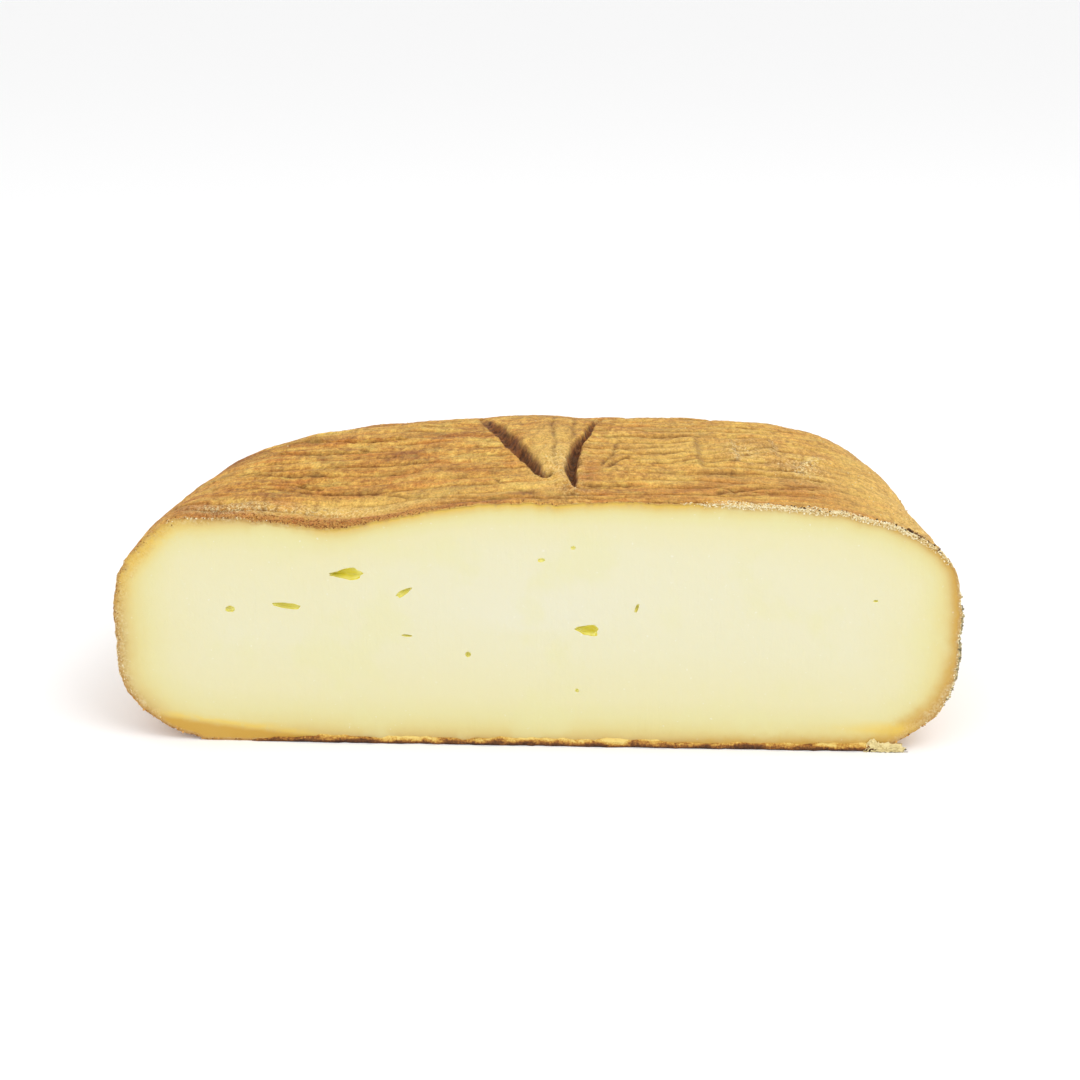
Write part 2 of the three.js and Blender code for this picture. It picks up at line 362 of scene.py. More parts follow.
@dataclass(frozen=True)
class RindRelief:
    """All that stands out of or into the smooth form, and the colours that go with it."""

    left_fold: Fold = Fold(
        line=((1.2, 21.8), (-1, 28.8), (-3.2, 36.9), (-6.9, 50.2), (-10.3, 62.5), (-14, 74), (-20.5, 92)),
        half_widths=(0.7, 1.4, 2.1, 2.5, 2.7, 2.5, 0.8),
        depths=(1.0, 2.2, 2.7, 2.9, 2.6, 2.0, 0.0),
    )
    right_fold: Fold = Fold(
        line=((9.6, 14.6), (8.8, 21.1), (8.2, 28.5), (8.6, 37.8), (9.7, 49.1), (11.4, 59.5), (13.3, 71.5), (17, 92)),
        half_widths=(0.7, 1.3, 1.7, 1.7, 1.4, 1.1, 0.9, 0.5),
        depths=(0.9, 2.2, 2.9, 2.9, 2.4, 2.0, 1.3, 0.0),
    )
    creases: tuple[Crease, ...] = (
        Crease(((-68, 67), (-61.5, 62.6), (-52, 59.6), (-44.6, 60.3), (-36, 61.5)), 1.6, 0.7, 0.7),
        Crease(((-74, 54), (-60, 50.3), (-46, 50.3)), 0.9, 0.7, 0.3),
        Crease(((-49.4, 53.4), (-45.4, 52.8)), 1.5, 0.75, 0.4),
        Crease(((-80, 35.6), (-65, 32.2), (-50, 33.2)), 0.9, 0.7, 0.3),
        Crease(((-62.5, 26.6), (-58.9, 24.5), (-55, 24)), 1.5, 0.8, 0.6),
        Crease(((-79, 24), (-60.8, 21.5), (-44.8, 20.6)), 0.6),
        Crease(((-46, 21), (-35.9, 16), (-21.9, 8.2), (-12, 5.8), (-1.3, 4.4), (8, 4)), 0.5, 0.42, 0.25),
        Crease(((-15, 5.7), (0.9, 4), (15.6, 4.2), (28, 5.1)), 0.6),
        Crease(((15.5, 60.6), (29.5, 62.1), (44.6, 61.9)), 1.0, 0.7, 0.3),
        Crease(((10.9, 15.9), (18, 15.1), (28, 15.4)), 1.0, 0.7, 0.3),
        Crease(((20.5, 25.5), (36, 25.7), (53, 27.1), (76, 25.5)), 0.9, 0.7, 0.3),
        Crease(((26, 13.5), (38, 13.8), (47.5, 14.5)), 0.7),
        Crease(((44, 8.4), (50.3, 12.2), (56.3, 15.7), (64, 16), (73, 17.5)), 0.9, 0.8, 0.5),
        Crease(((46, 7), (58, 10.5), (70, 11)), 0.6, 0.7, 0.3),
        Crease(((17.2, 29.1), (19.9, 35.5), (22.3, 39.2), (26, 37)), 0.9, 0.6, 0.3),
        Crease(((21.6, 49), (24.2, 47.7)), 0.9, 0.6),
        Crease(((15.7, 31.9), (18.9, 42.1), (20.7, 57.4)), 0.6, 0.6, 0.2),
        Crease(((22, 31), (27, 33), (33, 31.5)), 0.6, 0.6),
        Crease(((14, 50), (40, 50.5)), 0.5),
        Crease(((24, 42.5), (40, 43.5), (63, 46)), 0.5),
        Crease(((24, 34.6), (45, 36), (65, 38.8)), 0.6),
        Crease(((2.4, 92), (2.9, 60.8), (3.7, 52.6), (3.2, 44.2), (3.8, 37)), 0.5, 0.6),
        Crease(((8.9, 92), (8.4, 62), (7.6, 54)), 0.4, 0.6),
        Crease(((0.2, 22.5), (1.9, 21.3), (3.4, 22.8)), 1.5, 0.7, 0.8),
        Crease(((9.2, 6), (9.4, 4.6)), 1.0, 0.8),
        Crease(((-7, 11.4), (-3.2, 9.4), (-0.4, 7.6)), 0.9, 1.0),
        Crease(((-11.3, 23.6), (-8.5, 17.4)), 0.6, 0.6),
    )
    strand: tuple[Crease, ...] = (
        Crease(((2.6, 24.6), (5.6, 19.4), (7.5, 15.5), (9.1, 9), (9.2, 6.1)), -1.1, 1.2),
        Crease(((4.4, 17.6), (6.7, 13.2), (8.0, 9.6)), -0.6, 0.8),
        Crease(((-0.8, 45), (1.4, 34), (2.2, 26)), -0.7, 1.3),
        Crease(((6.2, 52), (5.6, 38), (5.2, 26)), -0.7, 1.4),
    )
    ridge: Crease = Crease(((74.3, 48.7), (70.3, 39.8), (67, 31.4)), -0.8, 1.2)
    stain: Patch = Patch((-3.5, 7.2), (4.2, 1.1), 0.85)
    seam_x: tuple[float, ...] = (41.0, 51.0, 61.5)
    seam_reach: tuple[tuple[float, float], ...] = ((30, 60), (36, 59), (43, 60))
    # Strength of the painted shadow beside each seam's step; below a half, the seam also gets a painted highlight of
    # twice the shortfall
    seam_dark: tuple[float, ...] = (0.45, 0.1, 0.3)
    seam_rise: float = 0.9
    seam_run: float = 8.0
    seam_drop: float = 1.8
    seam_ease: float = 2.0
    seam_fade: float = 3.0
    seam_shadow: float = 0.8
    ridge_pale: float = 0.7
    ridge_pale_width: float = 1.4
    tongue_rise: float = 1.0
    tongue_root: tuple[float, float] = (16.0, 28.0)
    tongue_end: tuple[float, float] = (18.0, 24.0)
    tongue_edge: tuple[float, float] = (-3.0, 0.0)
    top_heights: tuple[float, float] = (42.0, 54.0)
    sway_size: float = 9.0
    sway_across: float = 0.8
    sway_inwards: float = 1.1
    shake_size: float = 2.2
    shake: float = 0.35
    pleat_height: float = 0.48
    pleat_spacing: float = 6.3
    pleat_sway: float = 3.2
    pleat_depth: float = 0.55
    pleat_width: float = 0.5
    # Strength of the painted shade in the pleats' creases
    pleat_dark: float = 0.85
    smooth_right: tuple[float, float] = (62.0, 84.0)
    pad_length: float = 13.0
    pad_end_depth: float = 0.3
    pad_end_width: float = 0.9
    calm_reach: float = 14.0
    roughness: float = 0.7
    roughness_size: float = 17.0
    lumps: float = 0.32
    lump_size: float = 5.0
    grit: float = 0.18
    grit_size: float = 0.9
    crag_height: float = 0.38
    crag_size: float = 3.2
    crag_reach: float = 3.2
    crumble_size: float = 1.2
    fold_raggedness: float = 0.2
    russet: tuple[Patch, ...] = (
        Patch((-58, 2), (26, 3.2), 1.0),
        Patch((-30, 2), (26, 3), 0.55),
        Patch((-10, 6), (20, 4), 0.25),
        Patch((52, 11), (24, 4), 0.8),
        Patch((48, 3), (44, 2.5), 0.45),
        Patch((60, 20), (22, 5), 0.35),
        Patch((-30, 30), (22, 8), 0.3),
        Patch((-38, 48), (14, 7), 0.3),
        Patch((13.5, 26), (2.5, 11), 0.8),
        Patch((-90, 20), (12, 30), 0.3),
    )
    bloom: tuple[Patch, ...] = (
        Patch((-76, 8), (9, 5), 0.9),
        Patch((-52, 8.5), (16, 3.2), 0.7),
        Patch((5.5, 32), (5, 14), 0.45),
        Patch((9, 12), (3.5, 6), 0.4),
        Patch((68, 36), (6, 12), 0.45),
        Patch((55, 47), (6, 10), 0.35),
        Patch((97, 10), (8, 24), 0.35),
    )
    gold: tuple[Patch, ...] = (
        Patch((92, 25), (22, 44), 1.0),
        Patch((60, 80), (40, 26), 0.5),
        Patch((-55, 74), (24, 7), 0.8),
        Patch((34, 50), (24, 18), 0.7),
        Patch((48, 24), (34, 22), 0.5),
        Patch((-18, 14), (26, 9), 0.35),
        Patch((-42, 9), (28, 4.5), 1.0),
        Patch((-42, 15), (16, 4), 0.6),
        Patch((0, 42), (5, 32), 1.0),
        Patch((5.6, 38), (3.6, 28), 1.0),
    )

    def wander(self, points: np.ndarray) -> tuple[np.ndarray, np.ndarray]:
        """Wavers places so that no crease runs straight.

        Args:
            points: Places on the form, in millimetres.

        Returns:
            The places' wavered X and Y.
        """
        sway = field_noise(points, (self.sway_size, self.sway_size, TALL), 11.7)
        shake = field_noise(points, (self.shake_size, self.shake_size, TALL), 5.1)
        x = points[:, 0] + self.sway_across * sway
        y = points[:, 1] + self.sway_inwards * sway + self.shake * shake
        return x, y

    def on_top(self, z: np.ndarray) -> np.ndarray:
        """Returns 1 on the top and 0 on the sides, from the height."""
        return smooth_step(z, *self.top_heights)

    def seams(self, x: np.ndarray, y: np.ndarray) -> np.ndarray:
        """Returns the relief of the three steps that the cloth's seam left."""
        relief = np.zeros_like(x)
        for place, (low, high) in zip(self.seam_x, self.seam_reach):
            rise, fall = ((end - self.seam_ease, end + self.seam_ease) for end in (low, high))
            inside = plateau(y, rise, fall)
            relief += inside * plateau(x, (place - self.seam_run, place), (place, place + self.seam_drop))
        return self.seam_rise * relief

    def tongue(self, x: np.ndarray, y: np.ndarray) -> np.ndarray:
        """Returns the relief of the tongue of rind between the two folds."""
        left, right = self.left_fold.line_x(y), self.right_fold.line_x(y)
        across = np.clip((x - left) / np.maximum(right - left, 1.0), 0.0, 1.0)
        return self.tongue_rise * np.sin(np.pi * across) ** 1.2 * smooth_step(y, *self.tongue_root)

    def pleated(self, x: np.ndarray, y: np.ndarray) -> np.ndarray:
        """Returns how far the pleats are there: not on the tongue, and hardly by the right edge."""
        off_left = smooth_step(self.left_fold.line_x(y) - x, *self.tongue_edge)
        off_right = smooth_step(x - self.right_fold.line_x(y), *self.tongue_edge)
        off_tongue = np.clip(off_left + off_right + 1.0 - smooth_step(y, *self.tongue_end), 0.0, 1.0)
        return off_tongue * (1.0 - 0.85 * smooth_step(x, *self.smooth_right))

    def pleats(self, points: np.ndarray) -> tuple[np.ndarray, np.ndarray]:
        """Works out the rows of low pads that the press cloth's pleats left.

        Args:
            points: Places on the top.

        Returns:
            Their relief, in millimetres outwards, and how much painted shade lies in the creases between them and in
            the dents at the pads' ends.
        """
        x, y = points[:, 0], points[:, 1]
        row = (y + self.pleat_sway * field_noise(points, (38.0, 24.0, ENDLESS), 7.0)) / self.pleat_spacing
        swell = np.sqrt(np.abs(np.sin(np.pi * row)))
        from_crease = np.abs(row - np.round(row)) * self.pleat_spacing
        comes_and_goes = smooth_step(field_noise(points, (17.0, 5.0, ENDLESS), 13.0), -0.25, 0.35)
        crease = hump(from_crease, self.pleat_width) * comes_and_goes
        turn = x / self.pad_length + 0.37 * np.floor(row) + 0.3 * field_noise(points, (9.0, 9.0, ENDLESS), 17.0)
        from_end = np.abs(turn - np.round(turn)) * self.pad_length
        seldom = smooth_step(field_noise(points, (11.0, 6.0, ENDLESS), 23.0), 0.0, 0.4)
        ends = self.pad_end_depth * (hump(from_end, self.pad_end_width) * seldom * swell)
        amount = self.pleated(x, y)
        relief = self.pleat_height * (swell - 0.6) - self.pleat_depth * crease - ends
        return amount * relief, amount * np.maximum(self.pleat_dark * crease, ends)

    def top(self, points: np.ndarray) -> np.ndarray:
        """Returns the relief that only the top has: folds, tongue, creases, seams and pleats."""
        x, y = self.wander(points)
        relief = self.tongue(x, y) + self.seams(points[:, 0], points[:, 1]) + self.pleats(points)[0]
        for line in (self.left_fold, self.right_fold, self.ridge) + self.creases + self.strand:
            relief += line.relief(x, y)
        return relief

    def height(self, points: np.ndarray) -> np.ndarray:
        """Works out the whole relief.

        Args:
            points: Places on the smooth form.

        Returns:
            The relief there, in millimetres outwards.
        """
        lump, grit = self.lump_size, self.grit_size
        calm = smooth_step(points[:, 1], -self.calm_reach, self.calm_reach)
        rough = self.roughness * calm * field_noise(points, self.roughness_size, 0.3)
        lumps = self.lumps * field_noise(points, (1.8 * lump, lump, lump), 31.0)
        crags = field_noise(points, self.crag_size, 3.3) + 0.5 * field_noise(points, self.crumble_size, 8.1)
        crags = self.crag_height * crags * hump(points[:, 1], self.crag_reach)
        gritty = self.grit * field_noise(points, (grit, 1.6 * grit, grit), 44.0)
        return rough + lumps + gritty + crags + self.on_top(points[:, 2]) * self.top(points)

    def paint(self, points: np.ndarray) -> dict[Paint, np.ndarray]:
        """Works out where the rind has painted shade in its creases and folds, and where it is brown, mouldy, golden
        or painted with highlights beside the seams.

        Args:
            points: Places on the rind.

        Returns:
            The rind's colour masks there, each from 0 to 1.
        """
        x, y = self.wander(points)
        top = self.on_top(points[:, 2])
        # Painted shade in the two folds, its edge made ragged
        ragged = x + self.fold_raggedness * field_noise(points, (2.0, 3.4, TALL), 41.0)
        folds = [fold.dark(ragged, y) for fold in (self.left_fold, self.right_fold)]
        # Painted shade in the pleats' creases and along each crease
        creases = [self.pleats(points)[1]] + [crease.dark(x, y) for crease in self.creases]
        # Pale mould along the ridge
        pale = self.ridge_pale * hump(beside(self.ridge.line, x, y)[0], self.ridge_pale_width)
        # Beside each seam's step: painted shadow added to the crease mask, and painted highlight added to the pale
        # mould mask
        for place, (low, high), dark in zip(self.seam_x, self.seam_reach, self.seam_dark):
            inside = plateau(y, (low, low + self.seam_fade), (high - self.seam_fade, high))
            line = inside * hump(points[:, 0] - place - self.seam_shadow, 1.0)
            creases.append(dark * line)
            pale = np.maximum(pale, 2.0 * (0.5 - dark) * line)
        masks = {
            Paint.CREASE: np.max(creases, axis=0) * top,
            Paint.FOLD: np.max([*folds, self.stain.amount(x, y)], axis=0) * top,
        }
        for paint, patches in ((Paint.RUSSET, self.russet), (Paint.BLOOM, self.bloom), (Paint.GOLD, self.gold)):
            masks[paint] = np.clip(sum(patch.amount(x, y) for patch in patches) * (0.25 + 0.75 * top), 0.0, 1.0)
        masks[Paint.BLOOM] = np.clip(masks[Paint.BLOOM] + pale * top, 0.0, 1.0)
        return masks


@dataclass(frozen=True)
class Eye:
    """A small hole in the cut face: a tapered slit with a dark far corner."""

    x: float
    z: float
    length: float
    height: float
    depth: float
    tilt: float = 0.0
    taper: float = 0.0

    def cutter(self) -> bpy.types.Object:
        """Returns a ragged tapered ball that lies across the cut face where the eye is."""
        ball = add_ball(3)
        tilt = math.radians(self.tilt)
        for vertex in ball.data.vertices:
            ragged = 1.0 + 0.28 * noise.noise(vertex.co * 1.9 + Vector((self.x, self.z, 0.0)))
            along = vertex.co.x * self.length * ragged
            up = vertex.co.z * self.height * (1.0 + self.taper * vertex.co.x) * ragged
            vertex.co = (
                (self.x + along * math.cos(tilt) - up * math.sin(tilt)) * MM,
                vertex.co.y * self.depth * ragged * MM,
                (self.z + along * math.sin(tilt) + up * math.cos(tilt)) * MM,
            )
        return ball


class Shade:
    """A shader socket that Python arithmetic turns into Math nodes."""

    def __init__(self, recipe: "Recipe", socket: bpy.types.NodeSocket) -> None:
        """Keeps the socket and the recipe whose nodes it belongs to."""
        self.recipe = recipe
        self.socket = socket

    def _math(self, operation: str, first: "Shade | float", second: "Shade | float") -> "Shade":
        """Returns a Math node's result."""
        return self.recipe.node("ShaderNodeMath", {"operation": operation}, {0: first, 1: second})

    def __add__(self, other: "Shade | float") -> "Shade":
        """Returns the sum."""
        return self._math("ADD", self, other)

    __radd__ = __add__

    def __sub__(self, other: "Shade | float") -> "Shade":
        """Returns the difference."""
        return self._math("SUBTRACT", self, other)

    def __rsub__(self, other: float) -> "Shade":
        """Returns a number less this value."""
        return self._math("SUBTRACT", other, self)

    def __mul__(self, other: "Shade | float") -> "Shade":
        """Returns the product."""
        return self._math("MULTIPLY", self, other)

    __rmul__ = __mul__

    def __truediv__(self, other: "Shade | float") -> "Shade":
        """Returns the quotient."""
        return self._math("DIVIDE", self, other)

    def __abs__(self) -> "Shade":
        """Returns the value without its sign."""
        return self._math("ABSOLUTE", self, 0.0)

    def between(self, low: float, high: float) -> "Shade":
        """Returns 0 below low and 1 above high, or the reverse if low is the higher."""
        inputs = {"Value": self, "From Min": low, "From Max": high}
        return self.recipe.node("ShaderNodeMapRange", {"interpolation_type": "SMOOTHSTEP"}, inputs)


class Recipe:
    """The node tree of one material."""

    def __init__(self, name: str) -> None:
        """Makes a material with a bare Principled shader."""
        self.material = bpy.data.materials.new(name)
        self.material.use_nodes = True
        self.tree = self.material.node_tree
        self.shader = next(node for node in self.tree.nodes if node.type == "BSDF_PRINCIPLED")

    def _feed(self, socket: bpy.types.NodeSocket, value: object) -> None:
        """Links a Shade to a socket, or sets the socket's own value."""
        if isinstance(value, Shade):
            self.tree.links.new(value.socket, socket)
        else:
            socket.default_value = value

    def node(
        self,
        kind: str,
        settings: dict[str, object] | None = None,
        inputs: dict[str | int, object] | None = None,
        output: str | int = 0,
    ) -> Shade:
        """Adds a node.

        Args:
            kind: Blender's name for the node's type.
            settings: Properties to set first; stops holds a ramp's positions and colours.
            inputs: Values or Shades for its sockets, by name or place.
            output: The socket to return, by name or place.

        Returns:
            The chosen output.
        """
        node = self.tree.nodes.new(kind)
        for name, value in (settings or {}).items():
            if name == "stops":
                self._set_stops(node.color_ramp, value)
            else:
                setattr(node, name, value)
        for name, value in (inputs or {}).items():
            self._feed(node.inputs[name], value)
        return Shade(self, node.outputs[output])

    @staticmethod
    def _set_stops(ramp: bpy.types.ColorRamp, stops: list[tuple[float, tuple]]) -> None:
        """Gives a colour ramp its positions and colours."""
        while len(ramp.elements) < len(stops):
            ramp.elements.new(1.0)
        for element, (position, colour) in zip(ramp.elements, stops):
            element.position = position
            element.color = colour

    def attribute(self, paint: Paint) -> Shade:
        """Returns one of the mesh's painted masks."""
        return self.node("ShaderNodeAttribute", {"attribute_name": paint.value}, output="Fac")

    def place(self, stretch: tuple[float, float, float] = (1.0, 1.0, 1.0)) -> Shade:
        """Returns Object coordinates, scaled along each axis."""
        place = self.node("ShaderNodeTexCoord", output="Object")
        return self.node("ShaderNodeMapping", None, {"Vector": place, "Scale": stretch})

    def noise(self, size: float, place: Shade, detail: float = 3.0, roughness: float = 0.6) -> Shade:
        """Returns smooth noise whose bumps have the given size in millimetres."""
        inputs = {"Vector": place, "Scale": 1.0 / (size * MM), "Detail": detail, "Roughness": roughness}
        return self.node("ShaderNodeTexNoise", None, inputs, "Fac")

    def blend(self, amount: Shade | float, first: Shade | tuple, second: Shade | tuple) -> Shade:
        """Returns the first colour, or the second where amount is 1."""
        return self.node("ShaderNodeMix", {"data_type": "RGBA"}, {0: amount, 6: first, 7: second}, 2)

    def coat(self, colour: Shade, *coats: tuple[Shade, int, int, int]) -> Shade:
        """Lays coats of paint over a colour.

        Args:
            colour: The colour underneath.
            coats: Each coat's amount, from 0 to 1, and its screen colour, the lowest coat first.

        Returns:
            The colour on top.
        """
        for amount, *shade in coats:
            colour = self.blend(amount, colour, tone(*shade))
        return colour

    def ramp(self, value: Shade, stops: list[tuple[float, tuple]]) -> Shade:
        """Returns the colour that a value has on a ramp of positions and colours."""
        return self.node("ShaderNodeValToRGB", {"stops": stops}, {"Fac": value})

    def tone_ramp(self, value: Shade, *stops: tuple[float, int, int, int]) -> Shade:
        """Returns the colour that a value has on a ramp of positions and screen colours."""
        return self.ramp(value, [(position, tone(*shade)) for position, *shade in stops])

    def tinted(self, colour: Shade, strength: float, tint: Shade) -> Shade:
        """Returns a colour darkened or lightened by a value about 1."""
        settings = {"data_type": "RGBA", "blend_type": "MULTIPLY"}
        return self.node("ShaderNodeMix", settings, {0: strength, 6: colour, 7: tint}, 2)

    def bump(self, height: Shade, distance: float) -> Shade:
        """Returns the normal of a bumpy surface, its distance in millimetres."""
        inputs = {"Height": height, "Distance": distance * MM, "Strength": 1.0}
        return self.node("ShaderNodeBump", None, inputs)

    def finish(self, **inputs: object) -> bpy.types.Material:
        """Feeds the Principled shader's sockets and returns the material."""
        for name, value in inputs.items():
            self._feed(self.shader.inputs[name.replace("_", " ")], value)
        return self.material


def tone(red: float, green: float, blue: float) -> tuple[float, float, float, float]:
    """Works out a surface colour for the studio's light.

    Args:
        red: Red of the screen colour that the surface shows there, from 0 to 255.
        green: Its green.
        blue: Its blue.

    Returns:
        The surface's linear colour, with alpha.
    """
    linear = []
    for channel in (red, green, blue):
        share = channel / 255.0
        value = share / 12.92 if share <= 0.04045 else ((share + 0.055) / 1.055) ** 2.4
        linear.append(min(value / STUDIO_BRIGHTNESS, 1.0))
    return (*linear, 1.0)


@dataclass(frozen=True)
class RindFinish:
    """Dry golden-ochre rind: patchy along the pleats, with russet and pale mould, painted shade in its creases and
    folds, and painted highlights beside the seams.
    """

    patch_stretch: tuple[float, float, float] = (0.5, 1.0, 0.8)
    blotch_stretch: tuple[float, float, float] = (0.5, 1.1, 1.0)
    grain_stretch: tuple[float, float, float] = (1.0, 0.5, 1.0)
    thread_stretch: tuple[float, float, float] = (0.16, 1.0, 0.7)
    patch_size: float = 7.0
    blotch_size: float = 5.0
    wash_size: float = 30.0
    grain_size: float = 0.55
    pore_size: float = 1.6
    thread_size: float = 2.8
    mottle_size: float = 1.8
    speckle: tuple[tuple[float, tuple[float, float, float, float]], ...] = (
        (0.35, (0.58, 0.52, 0.44, 1.0)),
        (0.5, (1.0, 1.0, 1.0, 1.0)),
        (0.65, (1.36, 1.36, 1.3, 1.0)),
    )

    def material(self) -> bpy.types.Material:
        """Returns the rind's material."""
        r = Recipe("rind")
        along_grain = r.place(self.grain_stretch)
        patch = r.noise(self.patch_size, r.place(self.patch_stretch), 4.0, 0.65)
        blotch = r.noise(self.blotch_size, r.place(self.blotch_stretch), 4.0, 0.65)
        wash = r.noise(self.wash_size, r.place(), 2.0, 0.5)
        grain = r.noise(self.grain_size, along_grain, 4.0, 0.75)
        pores = r.noise(self.pore_size, along_grain, 4.0, 0.7)
        thread = r.noise(self.thread_size, r.place(self.thread_stretch), 3.0, 0.6)
        mixed = (patch * 0.45 + wash * 0.2 + pores * 0.35).between(0.34, 0.66)
        olive = blotch.between(0.51, 0.68)
        orange = blotch.between(0.49, 0.33)
        gold = r.attribute(Paint.GOLD)
        russet = r.attribute(Paint.RUSSET) * pores.between(0.34, 0.56)
        # The bloom mask holds pale mould and the painted highlights beside the seams; both the pale coat and the
        # musty dark spots follow it
        bloom = (r.attribute(Paint.BLOOM) + 0.05) * grain.between(0.47, 0.6)
        musty = r.attribute(Paint.BLOOM) * pores.between(0.5, 0.38)
        fold = r.attribute(Paint.FOLD)
        # Painted shade in thin crease lines along the pleats, kept out of the folds and the golden patches
        fine_crease_shade = abs(thread - 0.5).between(0.045, 0.0) * (1 - fold) * (1 - gold * 0.6)
        colour = r.coat(
            r.tone_ramp(mixed, (0.0, 166, 104, 38), (0.3, 202, 140, 56), (0.6, 228, 172, 76), (1.0, 246, 206, 104)),
            (olive * 0.45, 192, 168, 88),
            (orange * 0.6, 218, 134, 50),
            (gold * 0.6, 242, 200, 104),
            (russet * 0.8, 184, 102, 42),
            (bloom * 0.85, 244, 228, 176),
            (musty * 0.45, 140, 112, 58),
            (fine_crease_shade * 0.4, 134, 80, 34),
            # Painted shade in the creases
            (r.attribute(Paint.CREASE) * 0.9, 90, 48, 20),
        )
        mottle = r.noise(self.mottle_size, r.place(), 3.0, 0.6)
        # Painted shade in the folds: mottled dark brown
        fold_shade = r.blend(mottle.between(0.38, 0.64), tone(84, 40, 18), tone(156, 92, 44))
        colour = r.blend(fold * 0.92, colour, fold_shade)
        colour = r.tinted(colour, 0.9, r.ramp(grain * 0.65 + pores * 0.35, list(self.speckle)))
        relief = grain * 0.4 + pores * 0.6 + thread * 0.1
        return r.finish(
            Base_Color=colour,
            Roughness=0.66 + grain * 0.2,
            Normal=r.bump(relief, 0.8),
            Subsurface_Weight=0.1,
            Subsurface_Radius=(0.004, 0.0022, 0.001),
            Specular_IOR_Level=0.3,
        )


@dataclass(frozen=True)
class PasteFinish:
    """Pale cut paste that turns yellow towards the rind, amber and granular right beside it."""

    reach: float = 60.0
    mottle_size: float = 16.0
    curd_size: float = 2.6
    granule_size: float = 0.5
    crystal_size: float = 1.1
    drag_size: float = 1.6
    drag_stretch: tuple[float, float, float] = (1.0, 1.0, 0.12)
    ripe_tones: tuple[tuple[float, int, int, int], ...] = (
        (0.0, 200, 164, 98),
        (1.7, 211, 182, 114),
        (3.2, 221, 200, 132),
        (5.0, 226, 213, 149),
        (8.0, 228, 220, 165),
        (13.0, 230, 223, 178),
        (26.0, 230, 225, 190),
        (60.0, 230, 226, 199),
    )

    def material(self) -> bpy.types.Material:
        """Returns the paste's material."""
        r = Recipe("paste")
        even = r.place()
        mottle = r.noise(self.mottle_size, even, 3.0, 0.5)
        curd = r.noise(self.curd_size, even, 4.0, 0.6)
        granule = r.noise(self.granule_size, even, 3.0, 0.75)
        drag = r.noise(self.drag_size, r.place(self.drag_stretch), 2.0, 0.5)
        crystals = r.noise(self.crystal_size, even, 2.0, 0.5).between(0.7, 0.76)
        ripe = r.attribute(Paint.RIPENESS) + (curd - 0.5) * 1.2 + (mottle - 0.5) * 2.0
        stops = [(depth / self.reach, *shade) for depth, *shade in self.ripe_tones]
        amber = (r.attribute(Paint.AMBER) + (curd - 0.5) * 0.5).between(0.12, 0.85)
        gold = r.attribute(Paint.GOLD) * curd.between(0.25, 0.5)
        colour = r.coat(
            r.tone_ramp(ripe / self.reach, *stops),
            (mottle.between(0.52, 0.68) * 0.35, 228, 224, 168),
            (crystals * 0.5, 240, 238, 222),
            (amber * 0.9, 206, 160, 60),
            (gold * 0.85, 238, 204, 90),
        )
        speckled = ((0.34, 168, 124, 62), (0.45, 206, 172, 104), (0.55, 228, 206, 146), (0.66, 246, 236, 200))
        flecks = r.coat(
            r.tone_ramp(granule * 0.7 + curd * 0.3, *speckled),
            (amber * 0.35, 214, 158, 78),
            (gold * 0.75, 238, 196, 88),
        )
        granular = (r.attribute(Paint.GRANULES) + (curd - 0.5) * 0.9).between(0.25, 0.9)
        edge = r.attribute(Paint.EDGE) * granule.between(0.3, 0.5)
        colour = r.coat(r.blend(granular * 0.9, colour, flecks), (edge * 0.8, 168, 112, 46))
        return r.finish(
            Base_Color=colour,
            Roughness=0.42 + curd * 0.2,
            Normal=r.bump(curd * 0.4 + drag * 0.3 + granular * granule * 1.5, 0.3),
            Subsurface_Weight=0.25,
            Subsurface_Radius=(0.006, 0.005, 0.003),
            Specular_IOR_Level=0.3,
        )


@dataclass(frozen=True)
class EyeFinish:
    """The moist yellow wall of an eye, ochre where it is deepest."""

    deep: float = 1.8

    def material(self) -> bpy.types.Material:
        """Returns the eye wall's material."""
        r = Recipe("eye_wall")
        inwards = r.attribute(Paint.RIPENESS)
        colour = r.blend((inwards / self.deep).between(0.0, 1.0), tone(248, 242, 150), tone(232, 218, 70))
        return r.finish(
            Base_Color=colour,
            Roughness=0.35,
            Subsurface_Weight=0.6,
            Subsurface_Radius=(0.006, 0.005, 0.002),
            Specular_IOR_Level=0.4,
        )


@dataclass(frozen=True)
class CrumbFinish:
    """Crumbs and granules, each a little lighter or darker than its neighbours."""

    name: str
    dark: tuple[int, int, int]
    light: tuple[int, int, int]

    def material(self) -> bpy.types.Material:
        """Returns the crumbs' material."""
        r = Recipe(self.name)
        grain = r.noise(0.6, r.place(), 3.0, 0.7)
        tint = r.attribute(Paint.TINT) * 0.8 + grain * 0.3
        colour = r.blend(tint.between(0.1, 0.95), tone(*self.dark), tone(*self.light))
        return r.finish(Base_Color=colour, Roughness=0.8, Normal=r.bump(grain, 0.2), Specular_IOR_Level=0.25)


def deselect() -> None:
    """Leaves edit mode and deselects every object."""
    if bpy.context.object and bpy.context.object.mode != "OBJECT":
        bpy.ops.object.mode_set(mode="OBJECT")
    bpy.ops.object.select_all(action="DESELECT")


def pick(piece: bpy.types.Object) -> None:
    """Makes a piece the only one that is selected, and the active one."""
    deselect()
    bpy.context.view_layer.objects.active = piece
    piece.select_set(True)


def add_ball(subdivisions: int) -> bpy.types.Object:
    """Returns a new ball of radius 1 at the origin."""
    deselect()
    bpy.ops.mesh.primitive_ico_sphere_add(subdivisions=subdivisions, radius=1.0)
    return bpy.context.object


